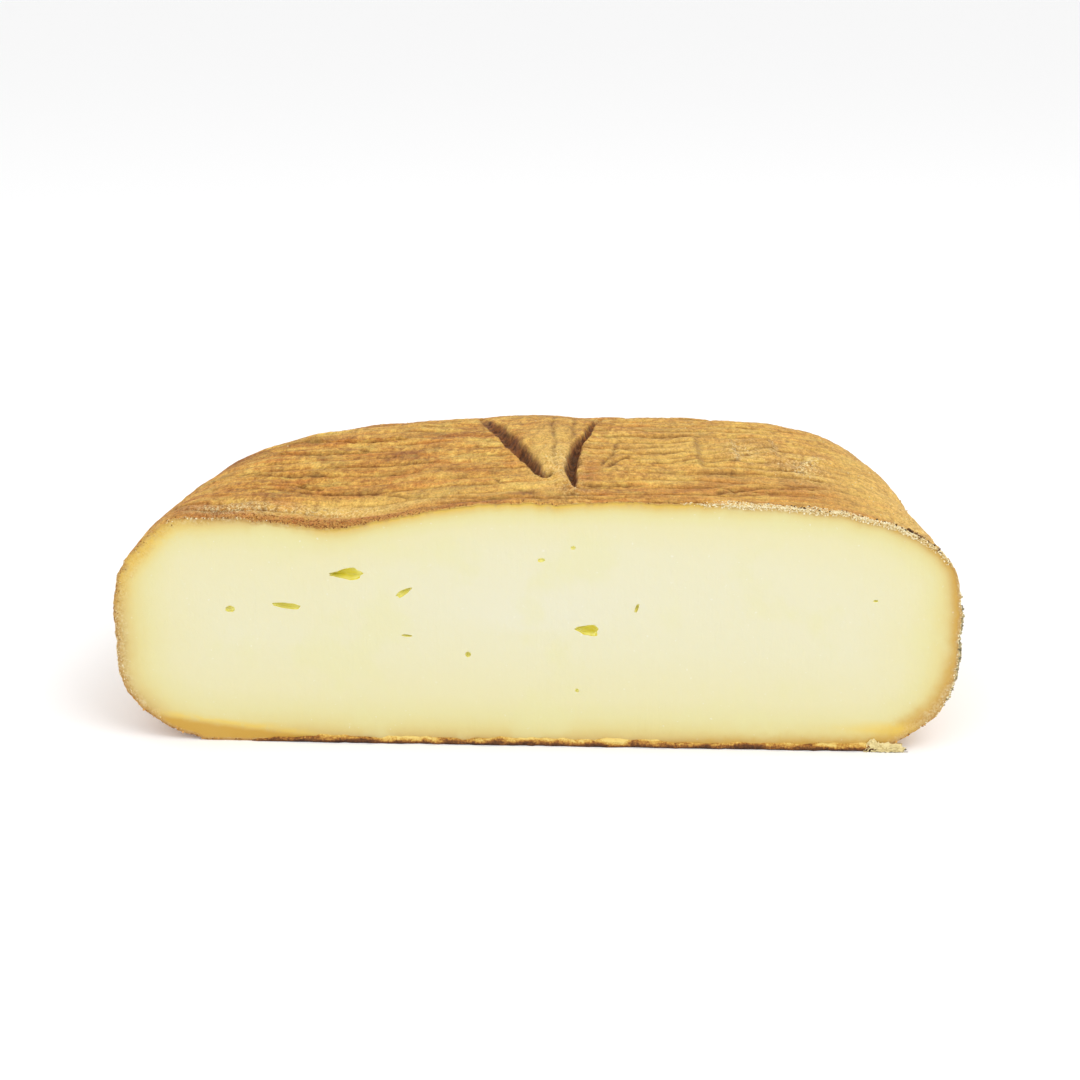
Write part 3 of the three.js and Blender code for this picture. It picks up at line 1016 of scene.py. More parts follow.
def add_block(cells: tuple[int, int, int], **place: object) -> bpy.types.Object:
    """Adds a box and cuts it into cells.

    Args:
        cells: How many cells there are along X, Y and Z.
        place: The box's location and scale, where it isn't a unit cube at the origin.

    Returns:
        The box, in edit mode, with nothing selected.
    """
    deselect()
    bpy.ops.mesh.primitive_cube_add(size=1.0, **place)
    block = bpy.context.object
    bpy.ops.object.transform_apply(location=True, rotation=False, scale=True)
    bpy.ops.object.mode_set(mode="EDIT")
    bpy.ops.mesh.select_mode(type="EDGE")
    bpy.ops.mesh.select_all(action="DESELECT")
    for axis, count in zip(Axis, cells):
        subdivide_along(block, axis, count)
    return block


def subdivide_along(piece: bpy.types.Object, axis: Axis, cells: int) -> None:
    """Cuts the edges that run along an axis into equal cells.

    Args:
        piece: A piece in edit mode.
        axis: The edges' direction.
        cells: How many cells each edge is cut into.
    """
    mesh = bmesh.from_edit_mesh(piece.data)
    for edge in mesh.edges:
        run = edge.verts[0].co - edge.verts[1].co
        edge.select_set(abs(run[axis.value]) > 0.9 * run.length)
    bmesh.update_edit_mesh(piece.data)
    bpy.ops.mesh.subdivide(number_cuts=cells - 1)
    bpy.ops.mesh.select_all(action="DESELECT")


def apply_modifier(piece: bpy.types.Object, kind: str, **settings: object) -> None:
    """Adds a modifier to a piece and applies it.

    Args:
        piece: The piece.
        kind: Blender's name for the modifier's type.
        settings: The modifier's properties.
    """
    pick(piece)
    modifier = piece.modifiers.new(kind.lower(), kind)
    for name, value in settings.items():
        setattr(modifier, name, value)
    bpy.ops.object.modifier_apply(modifier=modifier.name)


def coordinates(mesh: bpy.types.Mesh) -> np.ndarray:
    """Returns a mesh's vertices, one row each."""
    flat = np.empty(len(mesh.vertices) * 3)
    mesh.vertices.foreach_get("co", flat)
    return flat.reshape(-1, 3)


def set_coordinates(mesh: bpy.types.Mesh, places: np.ndarray) -> None:
    """Moves a mesh's vertices to places, one row each."""
    mesh.vertices.foreach_set("co", places.ravel())
    mesh.update()


def set_paint(mesh: bpy.types.Mesh, paint: Paint, values: np.ndarray) -> None:
    """Stores one painted mask on a mesh's vertices."""
    layer = mesh.attributes.new(paint.value, "FLOAT", "POINT")
    layer.data.foreach_set("value", values.astype(np.float32))


def smooth(piece: bpy.types.Object, degrees: float) -> None:
    """Smooths a piece's shading, except across edges sharper than an angle."""
    pick(piece)
    bpy.ops.object.shade_smooth_by_angle(angle=math.radians(degrees))


def dress(piece: bpy.types.Object, name: str, replaced: bool = False) -> None:
    """Names a finished piece and ties it to the frame.

    Args:
        piece: The finished object.
        name: The piece's name.
        replaced: Whether it stands for the CAD node.
    """
    piece.name = name
    piece.data.name = name
    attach(piece, BODY)
    if replaced:
        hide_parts(NODE)
    LOG.info("%s: %d faces", name, len(piece.data.polygons))


@dataclass(frozen=True)
class Wedge:
    """The ripe wedge at the lower left of the cut: amber, under a bright line."""

    left: float = -95.0
    rise: tuple[float, float] = (-98.0, -90.0)
    fall: tuple[float, float] = (-68.0, -42.0)
    height: float = 7.9
    slope: float = -0.135
    top_fade: tuple[float, float] = (-0.4, 1.4)
    deepening: tuple[float, float] = (0.6, 3.0)
    line_below: float = 0.6
    line_width: float = 0.7
    line_strength: float = 0.8

    def amount(self, x: np.ndarray, z: np.ndarray) -> tuple[np.ndarray, np.ndarray]:
        """Measures places on the cut against the wedge.

        Args:
            x: Places across the cut.
            z: Their heights.

        Returns:
            How amber the wedge is there, and how bright the line on its top, each from 0 to 1.
        """
        below = self.height + self.slope * (x - self.left) - z
        inside = plateau(x, self.rise, self.fall)
        deep = 0.5 + 0.5 * smooth_step(below, *self.deepening)
        line = self.line_strength * inside * hump(below - self.line_below, self.line_width)
        return inside * deep * smooth_step(below, *self.top_fade), line


@dataclass
class CheeseBody:
    """The half cheese itself, carved from a box: rind all round, the cut face in front, and its eyes."""

    form: CheeseForm = field(default_factory=CheeseForm)
    relief: RindRelief = field(default_factory=RindRelief)
    cells: tuple[int, int, int] = (112, 76, 34)
    heart_height: float = 30.0
    ease: float = 0.16
    near_rim: float = 3.2
    nearest_rim: float = 1.3
    near_line: float = 1.9
    rim_samples: int = 2400
    ripening: tuple[float, float, float, float] = (0.9, 1.0, 2.2, 1.0)
    amber: tuple[float, float, float, float] = (1.7, 2.8, 0.9, 1.4)
    granules: tuple[float, float, float, float] = (2.4, 0.8, 0.3, 0.4)
    edge: tuple[float, float, float, float] = (0.6, 0.25, 0.25, 0.8)
    edge_fade: tuple[float, float] = (0.3, 0.9)
    inner_fade: tuple[float, float] = (0.4, 1.5)
    wedge_smoothness: float = 0.85
    amber_strength: float = 0.75
    wedge_amber: tuple[float, float] = (0.35, 0.55)
    foot_right: tuple[float, float] = (20.0, 60.0)
    foot_heights: tuple[float, float] = (6.0, 16.0)
    top_gold_rise: tuple[float, float] = (-78.0, -40.0)
    top_gold_fall: tuple[float, float] = (34.0, 52.0)
    top_gold_heights: tuple[float, float] = (44.0, 50.0)
    corner: Patch = Patch((99.0, 10.0), (10.0, 10.0))
    corner_granules: float = 2.4
    corner_amber: float = 3.2
    foot_amber: float = 2.2
    streak: Patch = Patch((90.0, 6.0), (12.0, 1.5), 0.9)
    top_gold: float = 0.95
    top_gold_width: float = 1.3
    upper_left: Patch = Patch((-96.0, 50.0), (13.0, 13.0))
    upper_left_gold: float = 3.2
    wedge: Wedge = Wedge()
    eye_reach: float = 1.6
    eye_depth: float = 6.0
    eye_top: float = 56.0
    eyes: tuple[Eye, ...] = (
        Eye(-46.9, 45.4, 4.3, 1.4, 1.8, 3.0, 0.65),
        Eye(-61.8, 36.9, 3.5, 0.8, 1.3, -5.0, 0.3),
        Eye(-75.8, 35.8, 1.2, 0.85, 1.0),
        Eye(-32.4, 40.9, 2.2, 0.7, 1.1, 32.0, -0.3),
        Eye(12.9, 31.6, 2.9, 1.35, 1.7, -6.0, 0.55),
        Eye(-16.7, 24.6, 0.7, 0.7, 0.9),
        Eye(25.1, 37.6, 1.2, 0.45, 0.9, 70.0),
        Eye(-31.9, 29.4, 1.3, 0.3, 0.8, -4.0),
        Eye(1.4, 49.8, 0.9, 0.55, 0.5),
        Eye(9.2, 53.1, 0.6, 0.5, 0.5),
        Eye(10.6, 15.3, 0.5, 0.5, 0.5),
        Eye(83.6, 40.4, 0.6, 0.3, 0.6),
    )

    def skin(self, box: np.ndarray) -> np.ndarray:
        """Sends points of the box's skin to the rind.

        Args:
            box: Places on the box, as the form takes them.

        Returns:
            The same points on the rind, with its relief, in millimetres.
        """
        smooth_points = self.form.point(box)
        outwards = self.form.outwards(smooth_points)
        points = smooth_points + outwards * self.relief.height(smooth_points)[:, None]
        points[:, 1] = np.where(box[:, 1] <= 0, 0.0, np.maximum(points[:, 1], 0.0))
        points[:, 2] = np.maximum(points[:, 2], 0.0)
        return points

    def place(self, box: np.ndarray) -> np.ndarray:
        """Sends every vertex of the box to the cheese: the front lies in the cut, the rest is rind.

        Args:
            box: The vertices, as the form takes them.

        Returns:
            The cheese's vertices, in millimetres.
        """
        spread = np.abs(box[:, [0, 2]]).max(axis=1)
        inside = (box[:, 1] <= TINY) & (spread < 1 - TINY)
        edge = box.copy()
        edge[inside, 0] /= np.maximum(spread[inside], TINY)
        edge[inside, 2] /= np.maximum(spread[inside], TINY)
        points = self.skin(edge)
        heart = np.array([0.0, 0.0, self.heart_height])
        points[inside] = heart + (points[inside] - heart) * spread[inside, None]
        return points

    def rim(self) -> np.ndarray:
        """Returns places all round the cut face's edge, in millimetres."""
        turn = np.linspace(0, 2 * np.pi, self.rim_samples, endpoint=False)
        around = np.stack([np.cos(turn), np.zeros_like(turn), np.sin(turn)], axis=1)
        return self.skin(around / np.abs(around).max(axis=1, keepdims=True))

    def _refine(self, body: bpy.types.Object, wanted: Callable[[np.ndarray], np.ndarray]) -> None:
        """Halves some of the faces.

        Args:
            body: The box, in edit mode.
            wanted: Tells from their centres which faces are halved.
        """
        mesh = bmesh.from_edit_mesh(body.data)
        centres = np.array([face.calc_center_median() for face in mesh.faces])
        for face, chosen in zip(mesh.faces, wanted(self._eased(centres))):
            face.select_set(bool(chosen))
        bmesh.update_edit_mesh(body.data)
        bpy.ops.mesh.subdivide(number_cuts=1)
        bpy.ops.mesh.select_all(action="DESELECT")

    def _eased(self, box: np.ndarray) -> np.ndarray:
        """Crowds the box's rows towards the cut, the shoulders and the foot."""
        eased = box.copy()
        eased[:, 1] = (1 - self.ease) * box[:, 1] ** 1.3 + self.ease * box[:, 1]
        eased[:, 2] = np.sin(0.5 * np.pi * box[:, 2]) * 0.6 + 0.4 * box[:, 2]
        return eased

    def _rim_distance(self, box: np.ndarray) -> np.ndarray:
        """Returns a rough distance of places on the box from the edge of the cut, in millimetres."""
        spread = np.abs(box[:, [0, 2]]).max(axis=1)
        level = np.abs(box[:, 2]) >= np.abs(box[:, 0])
        reach = np.where(level, self.heart_height, self.form.half_width)
        return np.where(box[:, 1] <= TINY, (1 - spread) * reach, box[:, 1] * self.form.depth)

    def _near_lines(self, box: np.ndarray) -> np.ndarray:
        """Tells which places on the box lie near a fold, a crease or a strand of the top.

        Args:
            box: The places, as the form takes them.

        Returns:
            True for each that does.
        """
        x, y = self.relief.wander(self.form.point(box))
        near = np.zeros(len(box), bool)
        for line in self.relief.creases + self.relief.strand + (self.relief.ridge,):
            near |= beside(line.line, x, y)[0] < line.width * self.near_line
        for fold in (self.relief.left_fold, self.relief.right_fold):
            near |= beside(fold.line, x, y)[0] < max(fold.half_widths) * 0.6 * self.near_line
        return near & (box[:, 2] > 0.6) & (box[:, 1] > TINY)

    def _coarse_step(self, box: np.ndarray) -> np.ndarray:
        """Tells which places on the box get the first, wide refinement: the top and beside the cut."""
        on_top = (box[:, 2] > 0.97) & (box[:, 1] > TINY) & (np.abs(box[:, 0]) < 0.93)
        return on_top | (self._rim_distance(box) < self.near_rim)

    def _fine_step(self, box: np.ndarray) -> np.ndarray:
        """Tells which places on the box get the second refinement: creases and right beside the cut."""
        return self._near_lines(box) | (self._rim_distance(box) < self.nearest_rim)

    def _block(self) -> bpy.types.Object:
        """Returns the box, cut into cells that are finer beside the folds, the creases and the cut."""
        body = add_block(self.cells, location=(0.0, 0.5, 0.0), scale=(2.0, 1.0, 2.0))
        bpy.ops.mesh.select_mode(type="FACE")
        self._refine(body, self._coarse_step)
        self._refine(body, self._fine_step)
        bpy.ops.object.mode_set(mode="OBJECT")
        return body

    def _cut_eyes(self, body: bpy.types.Object) -> None:
        """Cuts the eyes out of the cut face."""
        cutters = [eye.cutter() for eye in self.eyes]
        deselect()
        for cutter in cutters:
            cutter.select_set(True)
        bpy.context.view_layer.objects.active = cutters[0]
        bpy.ops.object.join()
        apply_modifier(body, "BOOLEAN", operation="DIFFERENCE", solver="MANIFOLD", object=cutters[0])
        bpy.data.objects.remove(cutters[0])

    def _by_side(self, points: np.ndarray, values: tuple[float, float, float, float]) -> np.ndarray:
        """Blends four values by the direction from the cheese's heart.

        Args:
            points: Places on the cut.
            values: The values for the left, right, top and foot.

        Returns:
            The blended value at each place.
        """
        across = points[:, 0] / self.form.half_width
        up = (points[:, 2] - self.heart_height) / self.heart_height
        length = np.maximum(np.hypot(across, up), TINY)
        across, up = across / length, up / length
        left, right, top, foot = values
        sideways = np.where(across < 0, left, right) * across**2
        return sideways + np.where(up > 0, top, foot) * up**2

    def _from_rim(self, points: np.ndarray, on_cut: np.ndarray) -> np.ndarray:
        """Measures places against the edge of the cut.

        Args:
            points: Places on the cheese, in millimetres.
            on_cut: Which of them lie on the cut.

        Returns:
            Their distance from the edge, and 0 for those on the rind.
        """
        tree = kdtree.KDTree(self.rim_samples)
        for index, place in enumerate(self.rim()):
            tree.insert(place, index)
        tree.balance()
        return np.array([tree.find(place)[2] if cut else 0.0 for place, cut in zip(points, on_cut)])

    def _cut_masks(self, points: np.ndarray, distance: np.ndarray) -> dict[Paint, np.ndarray]:
        """Works out where the paste is granular, brown-edged, amber or golden.

        Args:
            points: Places on the cheese, in millimetres.
            distance: Their distance from the edge of the cut.

        Returns:
            The paste's colour masks there, each from 0 to 1.
        """
        x, _, z = points.T
        corner, upper_left = self.corner.amount(x, z), self.upper_left.amount(x, z)
        wedge, wedge_line = self.wedge.amount(x, z)
        inner = smooth_step(distance, *self.inner_fade)
        band = self._by_side(points, self.granules) + self.corner_granules * corner + upper_left
        granules = np.clip(1.0 - 0.5 * distance / band, 0.0, 1.0) * (1.0 - self.wedge_smoothness * wedge * inner)
        edge = self._by_side(points, self.edge) * (1.0 - smooth_step(distance, *self.edge_fade))
        foot = smooth_step(x, *self.foot_right) * (1.0 - smooth_step(z, *self.foot_heights))
        reach = self._by_side(points, self.amber) + self.corner_amber * corner + self.foot_amber * foot
        by_rim, further_in = self.wedge_amber
        amber = self.amber_strength * hump(distance, reach) + wedge * (by_rim + further_in * inner)
        middle = plateau(x, self.top_gold_rise, self.top_gold_fall) * smooth_step(z, *self.top_gold_heights)
        golden = self.top_gold * middle * hump(distance, self.top_gold_width)
        golden += 1.5 * upper_left * hump(distance, self.upper_left_gold)
        golden = golden + self.streak.amount(x, z) + wedge_line
        masks = {Paint.GRANULES: granules, Paint.EDGE: edge, Paint.AMBER: amber, Paint.GOLD: golden}
        return {paint: np.clip(values, 0.0, 1.0) for paint, values in masks.items()}

    def _paint(self, body: bpy.types.Object) -> None:
        """Stores the colour masks of the rind and the paste on the cheese."""
        points = coordinates(body.data) / MM
        on_cut = np.abs(points[:, 1]) < ON_CUT
        distance = self._from_rim(points, on_cut)
        rind, paste = self.relief.paint(points), self._cut_masks(points, distance)
        paste[Paint.GOLD] = np.where(on_cut & (distance > 0.05), paste[Paint.GOLD], rind[Paint.GOLD])
        ripeness = np.where(on_cut, distance * self._by_side(points, self.ripening), points[:, 1])
        for paint, values in (rind | paste | {Paint.RIPENESS: ripeness}).items():
            set_paint(body.data, paint, values)

    def _assign(self, body: bpy.types.Object) -> None:
        """Gives the rind, the cut face and the eyes' walls their materials."""
        body.data.materials.clear()
        for finish in (RindFinish(), PasteFinish(), EyeFinish()):
            body.data.materials.append(finish.material())
        for face in body.data.polygons:
            x, y, z = face.center / MM
            by_eye = any(max(abs(x - eye.x), abs(z - eye.z)) < self.eye_reach * eye.length for eye in self.eyes)
            if y < ON_CUT and face.normal.y < -0.9:
                face.material_index = 1
            elif by_eye and y < self.eye_depth and z < self.eye_top:
                face.material_index = 2
            else:
                face.material_index = 0

    def build(self) -> bpy.types.Object:
        """Returns the carved half cheese in the form's own frame."""
        body = self._block()
        box = self._eased(coordinates(body.data))
        set_coordinates(body.data, self.place(box) * MM)
        self._cut_eyes(body)
        self._paint(body)
        self._assign(body)
        smooth(body, 38.0)
        return body


@dataclass(frozen=True)
class CrumbBand:
    """A stretch of the cut's edge where crumbs of one kind lie."""

    start: float
    end: float
    count: int
    inwards: float
    onto_rind: float
    size: tuple[float, float]
    lift: float = 0.0


@dataclass
class Crumbs:
    """Loose bits of one kind along the cut's edge, each a ragged little ball, joined into one piece."""

    finish: CrumbFinish
    seed: int
    bands: tuple[CrumbBand, ...] = ()
    flatness: float = 0.6
    slot: Slot = Slot.RIND
    raggedness: float = 0.35
    random: np.random.Generator = field(init=False)

    def __post_init__(self) -> None:
        """Starts the random draws."""
        self.random = np.random.default_rng(self.seed)

    def scatter(self, body: CheeseBody) -> tuple[np.ndarray, np.ndarray]:
        """Scatters crumbs along the bands.

        Args:
            body: The cheese whose edge they lie on.

        Returns:
            The crumbs' places and sizes, in millimetres.
        """
        places, sizes = [], []
        for band in self.bands:
            share = self.random.random((2, band.count)).mean(axis=0)
            turn = np.radians(band.start + (band.end - band.start) * share)
            around = np.stack([np.cos(turn), np.zeros_like(turn), np.sin(turn)], axis=1)
            around /= np.abs(around).max(axis=1, keepdims=True)
            inset = self.random.random(band.count)
            on_rind = inset > band.inwards / (band.inwards + band.onto_rind)
            step = self.random.random(band.count) ** 1.5
            around[:, 1] = np.where(on_rind, step * band.onto_rind / body.form.depth, 0.0)
            skin = body.skin(around)
            outwards = body.form.outwards(body.form.point(around))
            size = self.random.uniform(*band.size, band.count)
            sink = np.where(on_rind, (0.3 - band.lift * 2.0) * size, step * band.inwards)
            place = skin - outwards * sink[:, None]
            place[:, 1] -= np.where(on_rind, 0.0, 0.1 * size)
            places.append(place)
            sizes.append(size)
        return np.concatenate(places), np.concatenate(sizes)

    def build(self, body: CheeseBody) -> bpy.types.Object:
        """Makes the crumbs.

        Args:
            body: The cheese that they lie on.

        Returns:
            One piece with all of them, none below the foot.
        """
        places, sizes = self.scatter(body)
        places[:, 2] = np.maximum(places[:, 2], (1.0 + self.raggedness) * sizes)
        ball = add_ball(1)
        template = coordinates(ball.data)
        faces = np.array([face.vertices[:] for face in ball.data.polygons])
        bpy.data.objects.remove(ball)
        count = len(places)
        ragged = 1.0 + self.raggedness * self.random.uniform(-1, 1, (count, len(template), 1))
        turns = np.array([self._turn() for _ in range(count)])
        squash = np.array([1.0, 1.0, self.flatness])
        shapes = np.einsum("nij,nkj->nki", turns, template[None] * ragged * squash)
        vertices = (places[:, None] + shapes * sizes[:, None, None]) * MM
        mesh = bpy.data.meshes.new(self.finish.name)
        offsets = np.arange(count)[:, None, None] * len(template)
        mesh.from_pydata(vertices.reshape(-1, 3), [], (faces[None] + offsets).reshape(-1, 3).tolist())
        set_paint(mesh, Paint.TINT, np.repeat(self.random.random(count), len(template)))
        mesh.materials.append(self.finish.material())
        piece = bpy.data.objects.new(self.finish.name, mesh)
        bpy.context.scene.collection.objects.link(piece)
        return piece

    def _turn(self) -> np.ndarray:
        """Returns a random turn as a matrix."""
        axis = Vector(self.random.normal(size=3)).normalized()
        return np.array(Matrix.Rotation(self.random.uniform(0, 2 * math.pi), 3, axis))


@dataclass
class MouldGranules(Crumbs):
    """Granules of dry mould on the rind, thick where it has bloomed and by the right edge."""

    tries: int = 16000
    size: tuple[float, float] = (0.12, 0.3)
    least_chance: float = 0.006
    bloom_chance: float = 0.8
    right_chance: float = 0.2
    right_edge: tuple[float, float] = (70.0, 104.0)
    side_shares: tuple[float, ...] = (0.62, 0.13, 0.13, 0.12)

    def scatter(self, body: CheeseBody) -> tuple[np.ndarray, np.ndarray]:
        """Scatters granules over the top, the left, the right and the back.

        Args:
            body: The cheese that they lie on.

        Returns:
            The granules' places and sizes, in millimetres.
        """
        box = self.random.uniform(-1.0, 1.0, (self.tries, 3))
        box[:, 1] = np.abs(box[:, 1])
        side = self.random.choice(len(self.side_shares), self.tries, p=self.side_shares)
        sides = (Axis.UP, 1), (Axis.ACROSS, -1), (Axis.ACROSS, 1), (Axis.INWARDS, 1)
        for index, (axis, value) in enumerate(sides):
            box[side == index, axis.value] = value
        skin = body.skin(box)
        # The bloom mask also holds the painted highlights beside the seams, so granules gather there too
        bloom = body.relief.paint(skin)[Paint.BLOOM]
        right = smooth_step(skin[:, 0], *self.right_edge)
        chance = self.least_chance + self.bloom_chance * bloom**2 + self.right_chance * right
        chosen = self.random.random(self.tries) < chance
        return skin[chosen], self.random.uniform(*self.size, int(chosen.sum()))


@dataclass(frozen=True)
class CrustFinish:
    """Lumpy rind at the foot of the cut: golden above, brown below, and dark brown at the very bottom, which is
    painted shade.
    """

    height: float = 2.2
    stretch: tuple[float, float, float] = (0.45, 1.0, 1.0)
    # Stops from the bottom up: the darkest, reached at the bottom and in the dips between lumps, are painted shade;
    # the browns and golds are the crust's own colour
    tones: tuple[tuple[float, int, int, int], ...] = (
        (0.0, 64, 36, 18),
        (0.35, 114, 68, 28),
        (0.55, 172, 114, 46),
        (0.75, 216, 170, 78),
        (1.0, 240, 212, 124),
    )

    def material(self) -> bpy.types.Material:
        """Returns the crust's material."""
        r = Recipe("foot_crust")
        even = r.place()
        drawn_out = r.place(self.stretch)
        height = r.node("ShaderNodeSeparateXYZ", None, {0: even}, "Z") / (self.height * MM)
        lumps = r.noise(2.4, drawn_out, 4.0, 0.6)
        grain = r.noise(0.6, even, 3.0, 0.7)
        level = height + (lumps - 0.5) * 1.7 + (grain - 0.5) * 1.0
        colour = r.tone_ramp(level, *self.tones)
        return r.finish(
            Base_Color=colour, Roughness=0.75, Normal=r.bump(lumps + grain * 0.4, 0.5), Specular_IOR_Level=0.3
        )


@dataclass
class FootCrust:
    """The rough lip of rind along the foot of the cut, a little proud of it."""

    left: float = -72.0
    right: float = 88.0
    height: float = 1.9
    proud: float = 0.7
    behind: float = 1.2
    left_taper: float = 0.12
    right_taper: float = 0.03
    cells: tuple[int, int, int] = (600, 4, 6)

    def build(self) -> bpy.types.Object:
        """Returns the lip, lumpy all along and thin at its two ends."""
        lip = add_block(self.cells)
        bpy.ops.object.mode_set(mode="OBJECT")
        box = coordinates(lip.data)
        along, inwards, up = box[:, 0] + 0.5, box[:, 1], box[:, 2] + 0.5
        x = self.left + along * (self.right - self.left)
        line = np.stack([x, np.zeros_like(x), np.zeros_like(x)], axis=1)
        lumps = field_noise(line, (7.0, 1.0, 1.0), 2.2) + 0.6 * field_noise(line, (2.1, 1.0, 1.0), 4.7)
        ends = np.sqrt(np.clip(np.minimum(along / self.left_taper, (1 - along) / self.right_taper), 0.0, 1.0))
        height = np.maximum(self.height * (1.0 + 0.5 * lumps), 0.5) * ends
        round_off = np.sqrt(np.maximum(1.0 - (2 * np.abs(up - 0.45)) ** 3, 0.0))
        proud = self.proud * (1.0 + 0.5 * field_noise(line, (3.1, 1.0, 1.0), 9.4)) * round_off * ends
        y = 2 * inwards * np.where(inwards < 0, proud, self.behind)
        places = np.stack([x, y, height * up], axis=1)
        rough = field_noise(places, (1.1, 1.1, 0.9), 6.6)
        places[:, 1] -= 0.45 * rough * (inwards < 0.2)
        places[:, 2] += np.where(up > 0.1, 0.3 * rough, 0.0)
        places[:, 2] = np.maximum(places[:, 2], 0.0)
        set_coordinates(lip.data, places * MM)
        lip.data.materials.append(CrustFinish().material())
        smooth(lip, 50.0)
        return lip


@dataclass
class FootScrap:
    """The scrap of rind that the knife dragged out at the foot of the cut, by the right corner."""

    x: float = 87.0
    left: float = 4.0
    right: float = 6.5
    half_depth: float = 4.0
    height: float = 2.6
    bluntness: float = 0.9
    slope: float = 0.45
    tint: float = 0.55
    finish: CrumbFinish = CrumbFinish("foot_scrap", (214, 178, 98), (254, 244, 190))

    def build(self) -> bpy.types.Object:
        """Returns the scrap, low and ragged, thin to the left and blunt to the right."""
        scrap = add_ball(5)
        for vertex in scrap.data.vertices:
            x, y, z = vertex.co
            coarse = noise.noise(vertex.co * 2.6 + Vector((4.0, 1.0, 9.0)))
            fine = noise.noise(vertex.co * 8.0) + 0.5 * noise.noise(vertex.co * 19.0)
            ragged = 1.0 + 0.4 * coarse + 0.22 * fine
            along = x * self.left if x < 0 else self._blunt(x) * self.right * ragged
            vertex.co = (
                (self.x + along) * MM,
                max(self._blunt(y) * self.half_depth * ragged, -0.5 + 0.6 * fine) * MM,
                max(self._blunt(z) * self.height * (1.0 - self.slope * x) * ragged, 0.0) * MM,
            )
        set_paint(scrap.data, Paint.TINT, np.full(len(scrap.data.vertices), self.tint))
        scrap.data.materials.append(self.finish.material())
        smooth(scrap, 40.0)
        return scrap

    def _blunt(self, value: float) -> float:
        """Returns a share pushed out towards the ends."""
        return math.copysign(abs(value) ** self.bluntness, value)


@dataclass
class Studio:
    """Pale floor, soft light and the camera, placed for a cheese whose cut faces the front."""

    elevation: float = 18.75
    azimuth: float = 1.479
    roll: float = 0.331
    distance: float = 0.480
    target: tuple[float, float, float] = (0.00006, 0.040, 0.041423)
    lens: float = 59.842
    sensor: float = 36.0
    near_clip: float = 0.01
    lamp_target: tuple[float, float, float] = (0.0, 0.0, 0.03)
    floor_size: float = 12.0
    floor_shade: float = 0.93

    def camera(self, shift: Vector) -> None:
        """Adds the camera.

        Args:
            shift: The cheese's move from the form's frame, which the camera shares.
        """
        data = bpy.data.cameras.new("camera")
        data.lens = self.lens
        data.sensor_width = self.sensor
        data.clip_start = self.near_clip
        azimuth, elevation, roll = (math.radians(angle) for angle in (self.azimuth, self.elevation, self.roll))
        level = math.cos(elevation)
        back = Vector((math.sin(azimuth) * level, -math.cos(azimuth) * level, math.sin(elevation)))
        right = Vector((math.cos(azimuth), math.sin(azimuth), 0.0))
        up = back.cross(right)
        rolled_right = math.cos(roll) * right + math.sin(roll) * up
        rolled_up = math.cos(roll) * up - math.sin(roll) * right
        camera = bpy.data.objects.new("camera", data)
        place = Vector(self.target) + shift + back * self.distance
        turn = Matrix((rolled_right, rolled_up, back)).transposed().to_4x4()
        camera.matrix_world = Matrix.Translation(place) @ turn
        bpy.context.scene.collection.objects.link(camera)
        bpy.context.scene.camera = camera

    def lamp(self, name: str, place: tuple[float, float, float], size: float, power: float) -> None:
        """Adds a soft square lamp that faces the cheese.

        Args:
            name: The lamp's name.
            place: Its place, in metres.
            size: Its side, in metres.
            power: Its power, in watts.
        """
        data = bpy.data.lights.new(name, "AREA")
        data.size = size
        data.energy = power
        lamp = bpy.data.objects.new(name, data)
        lamp.location = place
        lamp.rotation_euler = (Vector(self.lamp_target) - Vector(place)).to_track_quat("-Z", "Y").to_euler()
        bpy.context.scene.collection.objects.link(lamp)

    def floor(self) -> None:
        """Adds the pale floor."""
        deselect()
        bpy.ops.mesh.primitive_plane_add(size=self.floor_size)
        floor = bpy.context.object
        floor.name = "floor"
        shade = (self.floor_shade,) * 3 + (1.0,)
        floor.data.materials.append(Recipe("floor").finish(Base_Color=shade, Roughness=0.9))

    def build(self, shift: Vector) -> None:
        """Builds the whole studio round the cheese."""
        scene = bpy.context.scene
        scene.view_settings.view_transform = "Standard"
        world = bpy.data.worlds.new("studio")
        world.use_nodes = True
        background = world.node_tree.nodes["Background"]
        background.inputs["Color"].default_value = (1.0, 1.0, 1.0, 1.0)
        background.inputs["Strength"].default_value = 1.0
        scene.world = world
        self.floor()
        self.lamp("key", (0.55, -0.55, 0.85), 0.7, 5.0)
        self.lamp("fill", (-0.7, -0.8, 0.5), 0.9, 3.0)
        self.camera(shift)


def settle(pieces: list[bpy.types.Object]) -> Vector:
    """Moves the pieces together so that the first one fits the CAD node's box.

    Args:
        pieces: The finished pieces, the cheese first.

    Returns:
        The move, in metres.
    """
    low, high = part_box(NODE)
    own = coordinates(pieces[0].data)
    shift = Vector(((low.x + high.x - own[:, 0].min() - own[:, 0].max()) / 2, low.y, low.z))
    for piece in pieces:
        piece.data.transform(Matrix.Translation(shift))
    return shift


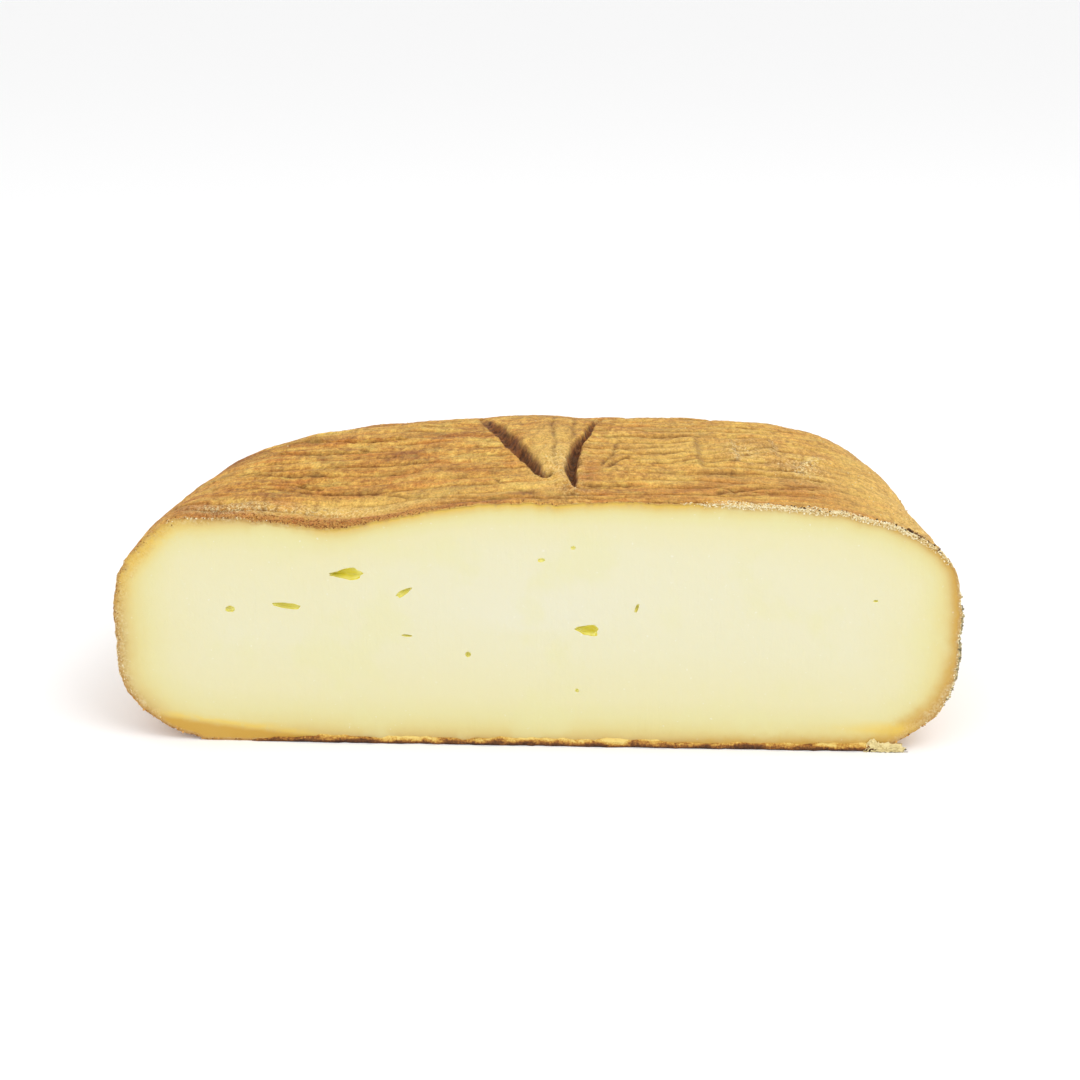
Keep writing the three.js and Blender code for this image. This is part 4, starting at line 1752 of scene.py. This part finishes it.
def loose_bits() -> tuple[Crumbs, ...]:
    """Returns the kinds of loose bits that the photo shows, each with its own random draws."""
    return (
        Crumbs(
            CrumbFinish("pale_crumbs", (226, 196, 128), (255, 246, 208)),
            seed=3,
            bands=(
                CrumbBand(48, 72, 1500, 0.9, 1.7, (0.1, 0.3)),
                CrumbBand(32, 60, 1300, 1.1, 1.5, (0.1, 0.32)),
                CrumbBand(122, 138, 90, 0.6, 1.2, (0.1, 0.22)),
                CrumbBand(-36, 44, 500, 0.5, 1.0, (0.1, 0.26)),
                CrumbBand(142, 222, 260, 1.3, 0.5, (0.08, 0.18)),
            ),
            slot=Slot.PASTE,
        ),
        Crumbs(
            CrumbFinish("brown_crumbs", (122, 74, 34), (222, 168, 90)),
            seed=5,
            bands=(
                CrumbBand(98, 138, 1500, 0.2, 3.6, (0.1, 0.32)),
                CrumbBand(66, 110, 200, 0.1, 1.2, (0.1, 0.26)),
                CrumbBand(128, 190, 140, 1.3, 0.8, (0.08, 0.2)),
                CrumbBand(30, 70, 300, 0.3, 2.6, (0.12, 0.32)),
                CrumbBand(200, 330, 900, 0.3, 1.0, (0.14, 0.42)),
            ),
        ),
        MouldGranules(CrumbFinish("mould_granules", (206, 164, 96), (244, 224, 168)), seed=7, flatness=0.8),
        Crumbs(
            CrumbFinish("grey_flecks", (116, 106, 78), (206, 192, 146)),
            seed=9,
            bands=(CrumbBand(-27, 24, 380, 0.1, 1.6, (0.15, 0.45), 0.45),),
            flatness=0.5,
        ),
        Crumbs(
            CrumbFinish("dark_specks", (58, 38, 20), (120, 84, 44)),
            seed=11,
            bands=(
                CrumbBand(36, 50, 40, 0.1, 1.6, (0.2, 0.5), 0.3),
                CrumbBand(50, 66, 30, 0.1, 1.8, (0.15, 0.35), 0.3),
            ),
            flatness=0.5,
        ),
    )


def main() -> None:
    """Builds the cheese, its loose bits and the studio."""
    logging.basicConfig(level=logging.INFO, format="%(message)s")
    cheese = CheeseBody()
    body = cheese.build()
    kinds = loose_bits()
    loose = [kind.build(cheese) for kind in kinds]
    scrap = FootScrap().build()
    crust = FootCrust().build()
    shift = settle([body, *loose, crust, scrap])
    dress(body, "cheese", replaced=True)
    for kind, piece in zip(kinds, loose):
        dress(piece, kind.finish.name)
    dress(crust, "foot_crust")
    dress(scrap, "foot_scrap", replaced=True)
    Studio().build(shift)


if __name__ == "__main__":
    main()
